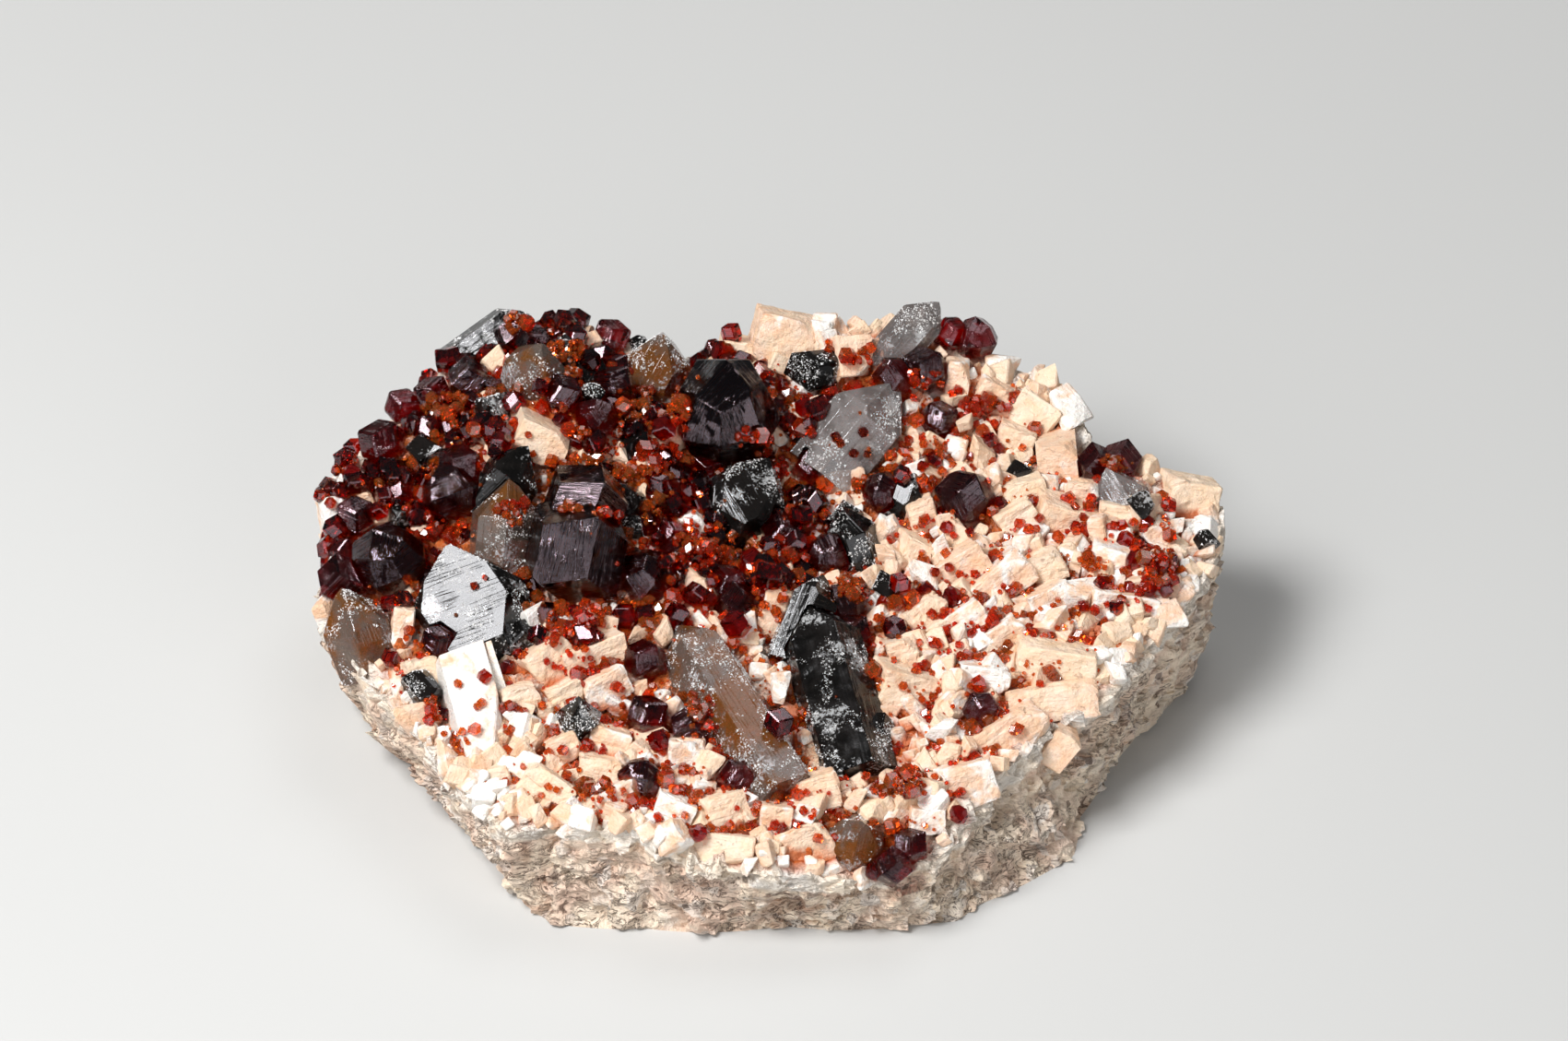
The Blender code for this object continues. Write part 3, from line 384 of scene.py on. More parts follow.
def broken_faces(points, size, seed, tilt=1.3):
    """Broken faces from -1 to 1: each point takes the tilted plane of the nearest jittered cell."""
    at = points / size
    base = np.floor(at).astype(np.int64)
    nearest = np.full(len(points), np.inf)
    height = np.zeros(len(points))
    for step in product((-1, 0, 1), repeat=3):
        cell = base + step
        offset = at - (cell + scatter_bits(cell, seed)[:, :3])
        distance = (offset**2).sum(1)
        own = scatter_bits(cell, seed + 1) - 0.5
        plane = own[:, 3] + (own[:, :3] * offset).sum(1) * tilt
        closer = distance < nearest
        nearest, height = np.where(closer, distance, nearest), np.where(closer, plane, height)
    return height


# Crystal shapes


# Tolerances of a convex crystal, as shares of its size
SINGULAR, OUTSIDE, ON_FACE = 1e-6, 1e-7, 2e-5
SAME_DIGITS = 5


def convex_shape(normals, distances):
    """A convex crystal as the points where three faces' planes meet inside all others: points, faces."""
    normals = normals / np.linalg.norm(normals, axis=1)[:, None]
    triples = np.array(list(combinations(range(len(normals)), 3)))
    systems = normals[triples]
    solvable = np.abs(np.linalg.det(systems)) > SINGULAR
    systems, triples = systems[solvable], triples[solvable]
    points = np.linalg.solve(systems, distances[triples][:, :, None])[:, :, 0]
    size = np.abs(distances).max()
    points = points[(points @ normals.T <= distances + OUTSIDE * size).all(1)]
    _, first = np.unique(np.round(points / size, SAME_DIGITS), axis=0, return_index=True)
    points = points[np.sort(first)]
    faces = []
    for normal, distance in zip(normals, distances):
        on_face = np.flatnonzero(np.abs(points @ normal - distance) < ON_FACE * size)
        if len(on_face) < 3:
            continue
        side = np.cross(normal, (0.3, 0.5, 0.8) if abs(normal[0]) > 0.7 else (1.0, 0.2, 0.1))
        offset = points[on_face] - points[on_face].mean(0)
        around = np.arctan2(offset @ np.cross(normal, side), offset @ side)
        faces.append(on_face[np.argsort(around)])
    return points, faces


def chamfered(normals, distances, amount):
    """The crystal's planes with one more on each edge, set in by the amount from the edge's ends."""
    normals = normals / np.linalg.norm(normals, axis=1)[:, None]
    points, _ = convex_shape(normals, distances)
    touching = np.abs(points @ normals.T - distances) < ON_FACE * np.abs(distances).max()
    new_normals, new_distances = [], []
    for first, second in combinations(range(len(normals)), 2):
        shared = touching[:, first] & touching[:, second]
        if shared.sum() >= 2:
            normal = normals[first] + normals[second]
            normal = normal / np.linalg.norm(normal)
            new_normals.append(normal)
            new_distances.append((points[shared] @ normal).max() - amount)
    return np.vstack((normals, new_normals)), np.concatenate((distances, new_distances))


def signed_turns(*direction):
    """Every direction that the cube's symmetry makes of this one."""
    turns = {
        tuple(part * sign for part, sign in zip(order, signs))
        for order in permutations(direction)
        for signs in product((1, -1), repeat=3)
    }
    return np.array(sorted(turns), float)


def rotation(axis, angle):
    """The matrix of a turn about one axis, 0 to 2 for X to Z."""
    cosine, sine = math.cos(angle), math.sin(angle)
    first, second = (axis + 1) % 3, (axis + 2) % 3
    matrix = np.eye(3)
    matrix[first, first] = matrix[second, second] = cosine
    matrix[first, second], matrix[second, first] = -sine, sine
    return matrix


def random_turns(number, random):
    """Evenly spread turns, as matrices: random quaternions written out."""
    w, x, y, z = random.normal(size=(number, 4)).T
    length = np.sqrt(w * w + x * x + y * y + z * z)
    w, x, y, z = w / length, x / length, y / length, z / length
    return np.stack([
        np.stack([1 - 2 * (y * y + z * z), 2 * (x * y - z * w), 2 * (x * z + y * w)], -1),
        np.stack([2 * (x * y + z * w), 1 - 2 * (x * x + z * z), 2 * (y * z - x * w)], -1),
        np.stack([2 * (x * z - y * w), 2 * (y * z + x * w), 1 - 2 * (x * x + y * y)], -1),
    ], 1)


def block_planes(wide, tall, deep, random):
    """A leaning feldspar block's planes: three pairs, and two that cut corners."""

    def slant(spread):
        return random.uniform(-spread, spread)

    lean = (math.sin(FELDSPAR_BETA), math.cos(FELDSPAR_BETA) * random.uniform(*LEAN_SHARE))
    half = np.array((wide, tall, deep)) / 2
    normals = [
        (lean[0], 0, lean[1]), (-lean[0], 0, -lean[1]),
        (slant(END_SPREAD), 1, END_LIFT), (END_LIFT, -1, slant(END_SPREAD)),
        (slant(TOP_SPREAD), slant(TOP_SPREAD), 1), (0, 0, -1),
    ]
    distances = list(np.repeat(half, 2))
    for _ in range(2):
        signs = random.choice((-1, 1), 2)
        corner = np.array((signs[0] / half[0], signs[1] / half[1], CORNER_DEPTH / half[2]))
        corner = corner / np.linalg.norm(corner)
        normals.append(corner)
        distances.append((np.abs(corner) * half).sum() * random.uniform(*CORNER_SHARE))
    normals = np.array(normals)
    return normals / np.linalg.norm(normals, axis=1)[:, None], np.array(distances)


def chip_shape(seed, chamfer):
    """A broken chip one unit across: the planes of a skewed cube, five random ones, and narrow edges."""
    random = np.random.default_rng(seed)
    skew = 0.16
    cube = np.vstack((np.eye(3), -np.eye(3))) + random.normal(0, skew, (6, 3))
    normals = np.vstack((cube, random.normal(size=(5, 3))))
    distances = np.concatenate((random.uniform(0.34, 0.5, 6), random.uniform(0.42, 0.6, 5)))
    return convex_shape(*chamfered(normals, distances, chamfer))


def cube_grid(cells):
    """A closed cube from -1 to 1 as six grids that share their edges, with closer lines near them: the
    lines lie at the sine of even steps. Points, and quads as corner numbers."""
    steps = np.sin(np.linspace(-1, 1, cells + 1) * math.pi / 2)
    u, v = (grid.ravel() for grid in np.meshgrid(steps, steps, indexing="ij"))
    one = np.ones(len(u))
    points, quads = [], []
    corner = (np.arange(cells)[:, None] * (cells + 1) + np.arange(cells)).ravel()
    quad = np.column_stack((corner, corner + cells + 1, corner + cells + 2, corner + 1))
    for axis in range(3):
        for sign in (-1, 1):
            side = np.empty((len(u), 3))
            side[:, axis], side[:, (axis + 1) % 3], side[:, (axis + 2) % 3] = sign * one, u, v
            quads.append((quad if sign > 0 else quad[:, ::-1]) + len(points) * len(u))
            points.append(side)
    points, quads = np.vstack(points), np.vstack(quads)
    _, first, shared = np.unique(np.round(points, 6), axis=0, return_index=True, return_inverse=True)
    return points[first], shared.ravel()[quads]


def worn_block(grid, normals, distances, sizes, softness):
    """A block with rounded edges over the cube's grid: each grid point, stretched to the block's half
    sizes, is scaled by one over the softness-power mean of its shares of the planes' distances."""
    points = grid * sizes
    shares = np.maximum(points @ normals.T / distances, 0)
    return points / ((shares**softness).sum(1) ** (1 / softness))[:, None]


def block_turn(roll, tip, side_turn):
    """Turns a block's broad face to the viewer, then rolls and tips it."""
    tipped = rotation(1, side_turn) @ rotation(0, math.radians(tip))
    return VIEW_AXES @ rotation(2, math.radians(roll)) @ tipped


def garnet_shape(habit, chamfer, seed):
    """A garnet one unit across: 12 rhombic planes or 24 kite planes, a little uneven, and cut edges."""
    face_distance, unevenness = 0.465, 0.05
    random = np.random.default_rng(seed)
    normals = signed_turns(1, 1, 0) if habit == "rhomb" else signed_turns(2, 1, 1)
    distances = face_distance * (1 + random.uniform(-unevenness, unevenness, len(normals)))
    if chamfer:
        normals, distances = chamfered(normals, distances, chamfer)
    return convex_shape(normals, distances)


def many(shape, turns, sizes, places):
    """One mesh of many copies of a shape: every copy's points are turned, scaled and moved at once."""
    points, faces = shape
    sizes = np.asarray(sizes, float)
    sizes = sizes[:, None] if sizes.ndim == 1 else sizes
    moved = np.einsum("nij,nkj->nki", turns, points[None] * sizes[:, None, :]) + places[:, None, :]
    shifts = np.arange(len(places)) * len(points)
    all_faces = [face + shift for shift in shifts for face in faces]
    return moved.reshape(-1, 3), all_faces


def joined(parts):
    """Several (points, faces) meshes as one."""
    points, faces, start = [], [], 0
    for part_points, part_faces in parts:
        points.append(part_points)
        faces += [np.asarray(face) + start for face in part_faces]
        start += len(part_points)
    return np.vstack(points), faces


# Meshes and pieces


def write_values(mesh, values):
    """Point attributes from arrays of numbers or of vectors."""
    for key, numbers in values.items():
        vectors = numbers.ndim == 2
        layer = mesh.attributes.new(key, "FLOAT_VECTOR" if vectors else "FLOAT", "POINT")
        layer.data.foreach_set("vector" if vectors else "value", numbers.astype(np.float32).ravel())


def mesh_points(mesh):
    """A mesh's points in millimetres."""
    places = np.empty(len(mesh.vertices) * 3, np.float32)
    mesh.vertices.foreach_get("co", places)
    return places.reshape(-1, 3) / MM


def make_piece(name, points, faces, finish, replaces=(), values=None):
    """Puts millimetre points and faces into a new mesh object that rides on the root body."""
    mesh = bpy.data.meshes.new(name)
    lengths = np.array([len(face) for face in faces], np.int32)
    corners = np.concatenate(faces).astype(np.int32)
    mesh.vertices.add(len(points))
    mesh.vertices.foreach_set("co", np.ascontiguousarray(points * MM, np.float32).ravel())
    mesh.loops.add(len(corners))
    mesh.loops.foreach_set("vertex_index", corners)
    mesh.polygons.add(len(lengths))
    mesh.polygons.foreach_set("loop_start", (np.cumsum(lengths) - lengths).astype(np.int32))
    mesh.update(calc_edges=True)
    write_values(mesh, values or {})
    mesh.validate()
    mesh.shade_flat()
    mesh.materials.append(finish)
    return add_piece(name, mesh, replaces)


def add_piece(name, mesh, replaces=()):
    """Links a mesh as a piece of the specimen."""
    piece = bpy.data.objects.new(name, mesh)
    bpy.context.scene.collection.objects.link(piece)
    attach(piece, "root")
    if replaces:
        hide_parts(*replaces)
    return piece


def tree_of(objects):
    """A search tree over the meshes of these objects, in millimetres."""
    points, faces, start = [], [], 0
    for item in objects:
        mesh = item.data
        points.append(mesh_points(mesh))
        faces += [[corner + start for corner in polygon.vertices] for polygon in mesh.polygons]
        start += len(mesh.vertices)
    return BVHTree.FromPolygons(np.vstack(points).tolist(), faces)


def cast(tree, starts, directions):
    """Where rays first meet the tree: places, outward normals and whether each met anything."""
    places, normals = np.zeros((len(starts), 3)), np.zeros((len(starts), 3))
    met = np.zeros(len(starts), bool)
    for index, (start, direction) in enumerate(zip(starts, directions)):
        place, normal, _, _ = tree.ray_cast(Vector(start), Vector(direction))
        if place is not None:
            places[index], met[index] = place, True
            normals[index] = normal if normal.dot(Vector(direction)) < 0 else -normal
    return places, normals, met


def seen_on(tree, places):
    """Where the display view's sight lines through these places first meet the tree."""
    lines = sight_lines(places)
    return cast(tree, np.repeat(EYE[None], len(lines), 0), lines)


def points_on(pieces, number, random):
    """Places spread evenly over the faces of these pieces, with their normals: triangles drawn by their
    area, and in each a place whose share of the way from the first corner is the root of a random one."""
    corners = []
    for item in pieces:
        mesh = item.data
        mesh.calc_loop_triangles()
        triangles = np.empty(len(mesh.loop_triangles) * 3, np.int32)
        mesh.loop_triangles.foreach_get("vertices", triangles)
        corners.append(mesh_points(mesh)[triangles.reshape(-1, 3)])
    first, second, third = np.vstack(corners).transpose(1, 0, 2)
    normals = np.cross(second - first, third - first)
    area = np.linalg.norm(normals, axis=1)
    chosen = random.choice(len(area), number, p=area / area.sum())
    outward = np.sqrt(random.uniform(size=(number, 1)))
    across = random.uniform(size=(number, 1))
    edge = second[chosen] + across * (third[chosen] - second[chosen])
    return first[chosen] + outward * (edge - first[chosen]), normals[chosen] / area[chosen, None]


def inside_box(points, margin=0.02):
    """Whether points lie inside the frame's box, in millimetres."""
    return ((points > BOX_LOW + margin) & (points < BOX_HIGH - margin)).all(-1)


def held_in_box(points):
    """The points, with those outside the frame's box moved to it."""
    return np.clip(points, BOX_LOW + BOX_MARGIN, BOX_HIGH - BOX_MARGIN)


# Materials


def place_node(tree, kind, inputs=None, **settings):
    """A node with its settings, its inputs linked to sockets or set to values."""
    node = tree.nodes.new(kind)
    for key, value in settings.items():
        setattr(node, key, value)
    for key, value in (inputs or {}).items():
        if isinstance(value, bpy.types.NodeSocket):
            tree.links.new(value, node.inputs[key])
        else:
            node.inputs[key].default_value = value
    return node


def noise_of(tree, vector, scale, detail=3.0, rough=0.55, distortion=0.0):
    """A noise texture's value. The scale is in features for each metre, or each millimetre of a face."""
    inputs = {"Vector": vector, "Scale": scale, "Detail": detail, "Roughness": rough}
    inputs["Distortion"] = distortion
    return place_node(tree, "ShaderNodeTexNoise", inputs).outputs["Fac"]


def span(tree, value, low, high, to_low=0.0, to_high=1.0):
    """A value's range stretched to another, and held inside it."""
    inputs = {"Value": value, "From Min": low, "From Max": high, "To Min": to_low, "To Max": to_high}
    return place_node(tree, "ShaderNodeMapRange", inputs).outputs["Result"]


# The colour sockets of a mix node, by their place in its lists
MIX_SHARE, MIX_FIRST, MIX_SECOND, MIX_RESULT = 0, 6, 7, 2


def blend(tree, share, first, second):
    """Two colours mixed by a share from 0 to 1."""
    first, second = (
        part if isinstance(part, bpy.types.NodeSocket) else (*part, 1.0) for part in (first, second)
    )
    inputs = {MIX_SHARE: share, MIX_FIRST: first, MIX_SECOND: second}
    return place_node(tree, "ShaderNodeMix", inputs, data_type="RGBA").outputs[MIX_RESULT]


def calc(tree, operation, *values):
    """A value worked out from others."""
    return place_node(tree, "ShaderNodeMath", dict(enumerate(values)), operation=operation).outputs[0]


def plus(tree, base, share, value):
    """A value, and a share of another one added to it."""
    return calc(tree, "MULTIPLY_ADD", value, share, base)


def bumped(tree, height, strength, distance):
    """A normal from a height."""
    inputs = {"Height": height, "Strength": strength, "Distance": distance}
    return place_node(tree, "ShaderNodeBump", inputs).outputs["Normal"]


def new_group(name, inputs, outputs):
    """An empty shader node group with named sockets."""
    group = bpy.data.node_groups.new(name, "ShaderNodeTree")
    for key, kind, default in inputs:
        socket = group.interface.new_socket(key, in_out="INPUT", socket_type=kind)
        if default is not None:
            socket.default_value = default
    for key, kind in outputs:
        group.interface.new_socket(key, in_out="OUTPUT", socket_type=kind)
    return group, group.nodes.new("NodeGroupInput").outputs, group.nodes.new("NodeGroupOutput").inputs


def group_node(tree, name, make, **inputs):
    """The outputs of a node of the group of this name, which is made the first time that it is asked
    for."""
    group = bpy.data.node_groups.get(name) or make(name)
    return place_node(tree, "ShaderNodeGroup", inputs, node_tree=group).outputs


def make_growth_lines(name):
    """Growth lines: thin parallel ridges along the first axis that come and go."""
    group, given, out = new_group(
        name,
        [("Vector", "NodeSocketVector", None), ("Lines", "NodeSocketFloat", 2.5)],
        [("Height", "NodeSocketFloat"), ("Fine", "NodeSocketFloat")],
    )
    along = place_node(group, "ShaderNodeMapping", {"Vector": given["Vector"], "Scale": (0.06, 1.0, 1.0)})
    coarse = noise_of(group, along.outputs["Vector"], given["Lines"], 1.0, 0.5)
    finer = calc(group, "MULTIPLY", given["Lines"], 3.0)
    fine = noise_of(group, along.outputs["Vector"], finer, 2.0, 0.7)
    comes = span(group, noise_of(group, given["Vector"], 0.3, 1.0), 0.38, 0.62, 0.1, 1.0)
    ridges = plus(group, fine, 0.7, span(group, coarse, 0.47, 0.53))
    group.links.new(calc(group, "MULTIPLY", ridges, comes), out["Height"])
    group.links.new(fine, out["Fine"])
    return group


def make_mineral_grain(name):
    """Mineral grain: a broad mottle, a fine grain and a mask of small pits, where shade is painted."""
    group, given, out = new_group(
        name,
        [("Vector", "NodeSocketVector", None), ("Scale", "NodeSocketFloat", 400.0)],
        [("Mottle", "NodeSocketFloat"), ("Grain", "NodeSocketFloat"), ("Pits", "NodeSocketFloat")],
    )
    mottle = noise_of(group, given["Vector"], given["Scale"], 4.0, 0.6, 0.4)
    grain = noise_of(group, given["Vector"], calc(group, "MULTIPLY", given["Scale"], 7.0), 3.0, 0.7)
    pits = noise_of(group, given["Vector"], calc(group, "MULTIPLY", given["Scale"], 3.1), 2.0, 0.5, 1.0)
    group.links.new(span(group, mottle, 0.32, 0.68), out["Mottle"])
    group.links.new(grain, out["Grain"])
    group.links.new(span(group, pits, 0.66, 0.74), out["Pits"])
    return group


def new_material(name):
    """A material, its tree, its Principled shader, and its coordinates on the object and on the map."""
    made = bpy.data.materials.new(name)
    made.use_nodes = True
    tree = made.node_tree
    coordinates = tree.nodes.new("ShaderNodeTexCoord").outputs
    return made, tree, tree.nodes["Principled BSDF"], coordinates["Object"], coordinates["UV"]


def set_inputs(shader, **values):
    """Plain values on a shader's sockets, with _ for a space in their names."""
    for key, value in values.items():
        shader.inputs[key.replace("_", " ")].default_value = value


def attribute(tree, name, kind="Fac"):
    """A mesh attribute's value."""
    return place_node(tree, "ShaderNodeAttribute", attribute_name=name).outputs[kind]


def make_frost_dust(name):
    """Frost dust: fine specks that thicken in patches."""
    group, given, out = new_group(
        name, [("Vector", "NodeSocketVector", None)], [("Dust", "NodeSocketFloat")]
    )
    patches = noise_of(group, given["Vector"], 230.0, 3.0, 0.6)
    specks = noise_of(group, given["Vector"], 2600.0, 2.0, 0.7)
    group.links.new(span(group, plus(group, specks, 1.9, patches), 1.62, 1.78), out["Dust"])
    return group


def crystal_glass(
    name, passes, density, ior, rough, lines, line_depth,
    body=None, sheen=(1, 1, 1), clear=1.0, dusty=False,
):
    """A clear crystal: plain transmission, absorption inside, and growth lines along its faces. A cloudy
    one has a body of two colours as well, and a dusty one has frost dust on that."""
    made, tree, shader, at, on_face = new_material(name)
    set_inputs(shader, IOR=ior, Specular_Tint=(*sheen, 1), Transmission_Weight=clear)
    grow = group_node(tree, "Growth lines", make_growth_lines, Vector=on_face, Lines=lines)
    grain = group_node(tree, "Mineral grain", make_mineral_grain, Vector=at)
    worn = calc(tree, "MULTIPLY", grain["Mottle"], grow["Fine"])
    tree.links.new(span(tree, worn, 0.0, 0.7, *rough), shader.inputs["Roughness"])
    tree.links.new(bumped(tree, grow["Height"], 1.0, line_depth), shader.inputs["Normal"])
    if body:
        share = plus(tree, noise_of(tree, at, 120.0, 2.0, 0.6), 0.25, grain["Mottle"])
        bodies = blend(tree, span(tree, share, 0.52, 0.68), *body)
        if dusty:
            frost = group_node(tree, "Frost dust", make_frost_dust, Vector=at)
            bodies = blend(tree, frost["Dust"], bodies, (1, 1, 1))
        tree.links.new(bodies, shader.inputs["Base Color"])
    else:
        set_inputs(shader, Base_Color=(1, 1, 1, 1))
    inputs = {"Color": (*passes, 1), "Density": density}
    absorbing = place_node(tree, "ShaderNodeVolumeAbsorption", inputs)
    tree.links.new(absorbing.outputs["Volume"], tree.nodes["Material Output"].inputs["Volume"])
    return made


def feldspar_finish(name, look):
    """Feldspar: cream, peach or white crystals, cleavage lines, frosting, rust low in the gaps, and
    painted shade in small pits.
    """
    made, tree, shader, at, _ = new_material(name)
    local = attribute(tree, "grain_at", "Vector")
    grain = group_node(tree, "Mineral grain", make_mineral_grain, Vector=at, Scale=420.0)
    grow = group_node(tree, "Growth lines", make_growth_lines, Vector=local, Lines=1.5)
    zones = calc(tree, "SUBTRACT", noise_of(tree, at, 330.0, 3.0, 0.65, 0.3), 0.5)
    tint = plus(tree, attribute(tree, "tint"), 1.5, zones)
    warm = blend(tree, span(tree, tint, 0.2, 0.6), look.cream, look.peach)
    pale = blend(tree, span(tree, tint, 0.66, 0.92), warm, look.white)
    frosted = blend(tree, calc(tree, "MULTIPLY", grain["Mottle"], 0.35), pale, look.white)
    patches = calc(tree, "MULTIPLY", noise_of(tree, at, 260.0, 4.0, 0.65, 0.6), 0.7)
    patches = plus(tree, patches, 0.5, noise_of(tree, at, 75.0, 3.0, 0.6))
    stained = span(tree, plus(tree, patches, 0.5, attribute(tree, "depth")), 0.82, 1.03, 0.0, 0.88)
    rusty = blend(tree, stained, frosted, look.rust)
    # Painted shade: the small pits are darkened by half the pit mask
    pitted = blend(tree, calc(tree, "MULTIPLY", grain["Pits"], 0.5), rusty, look.pits)
    tree.links.new(pitted, shader.inputs["Base Color"])
    tree.links.new(span(tree, grain["Grain"], 0.3, 0.7, 0.32, 0.7), shader.inputs["Roughness"])
    height = calc(tree, "MULTIPLY", grow["Height"], 0.35)
    height = plus(tree, height, 2.2, noise_of(tree, local, 1.1, 3.0, 0.6))
    height = plus(tree, height, 0.7, grain["Grain"])
    tree.links.new(bumped(tree, height, 0.8, 0.2 * MM), shader.inputs["Normal"])
    set_inputs(shader, Subsurface_Weight=0.1, Subsurface_Scale=0.8 * MM)
    set_inputs(shader, Subsurface_Radius=(1.0, 0.6, 0.4))
    return made


def rock_finish(name, rock, feldspar):
    """Broken rock: pale grains and grey ones, painted shade in dark pits and thin cracks, and rust in
    patches.
    """
    made, tree, shader, at, _ = new_material(name)
    grain = group_node(tree, "Mineral grain", make_mineral_grain, Vector=at, Scale=240.0)

    def grains(scale):
        return place_node(tree, "ShaderNodeTexVoronoi", {"Vector": at, "Scale": scale}).outputs["Color"]

    # The sides: broad patches, pale grains, brown patches and dark grains
    broad = plus(tree, noise_of(tree, at, 62.0, 4.0, 0.65, 0.4), 0.4, grain["Mottle"])
    brown = noise_of(tree, at, 95.0, 4.0, 0.7, 0.5)
    sides = blend(tree, span(tree, broad, 0.52, 0.86), rock.grey, rock.cream)
    sides = blend(tree, span(tree, grains(620.0), 0.62, 0.95, 0.0, 0.8), sides, rock.pale)
    sides = blend(tree, span(tree, brown, 0.54, 0.68, 0.0, 0.7), sides, rock.brown)
    sides = blend(tree, span(tree, grains(900.0), 0.88, 0.92, 0.0, 0.7), sides, rock.dark)
    # Painted shade: dark cracks run where the wrinkles pass a level, and dark pits lie where they are
    # high; the bump sinks both
    streaks = place_node(tree, "ShaderNodeMapping", {"Vector": at, "Scale": (1, 1, 2.2)})
    wrinkles = noise_of(tree, streaks.outputs["Vector"], 300.0, 5.0, 0.66, 1.2)
    off_level = calc(tree, "ABSOLUTE", calc(tree, "SUBTRACT", wrinkles, 0.47))
    comes = span(tree, noise_of(tree, at, 110.0, 2.0), 0.36, 0.56)
    veins = calc(tree, "MULTIPLY", span(tree, off_level, 0.006, 0.022, 1.0, 0.0), comes)
    # The mask of painted shade in the cracks and pits
    dark = calc(tree, "MULTIPLY", calc(tree, "MAXIMUM", veins, span(tree, wrinkles, 0.58, 0.66)), 0.85)
    sides = blend(tree, dark, sides, rock.dark)
    # The face, mostly rust between the crystals, and the pale edge round it
    rust = span(tree, noise_of(tree, at, 180.0, 5.0, 0.7, 0.8), 0.38, 0.54)
    face = blend(tree, rust, blend(tree, grain["Mottle"], feldspar.cream, feldspar.white), feldspar.rust)
    edge = blend(tree, grain["Mottle"], rock.cream, feldspar.white)
    # The pale edge takes the painted shade of the cracks and pits at half strength
    edge = blend(tree, calc(tree, "MULTIPLY", dark, 0.5), edge, rock.veins)
    side = attribute(tree, "side")
    upper = blend(tree, span(tree, side, 0.1, 0.4), face, edge)
    tree.links.new(blend(tree, span(tree, side, 0.55, 0.9), upper, sides), shader.inputs["Base Color"])
    set_inputs(shader, Roughness=0.75)
    height = plus(tree, plus(tree, wrinkles, -0.25, dark), 0.4, grain["Grain"])
    tree.links.new(bumped(tree, height, 1.0, 1.1 * MM), shader.inputs["Normal"])
    return made


def fleck_finish(name):
    """White frost specks: nearly white, each a little different, dull."""
    made, tree, shader, at, _ = new_material(name)
    shade = span(tree, noise_of(tree, at, 900.0, 2.0), 0.3, 0.7)
    white = blend(tree, shade, (0.62, 0.60, 0.58), (0.90, 0.90, 0.90))
    tree.links.new(white, shader.inputs["Base Color"])
    set_inputs(shader, Roughness=0.45)
    return made


def finish_named(name, make, *settings):
    """The material of this name, made the first time that it is asked for."""
    return bpy.data.materials.get(name) or make(name, *settings)


# Operators


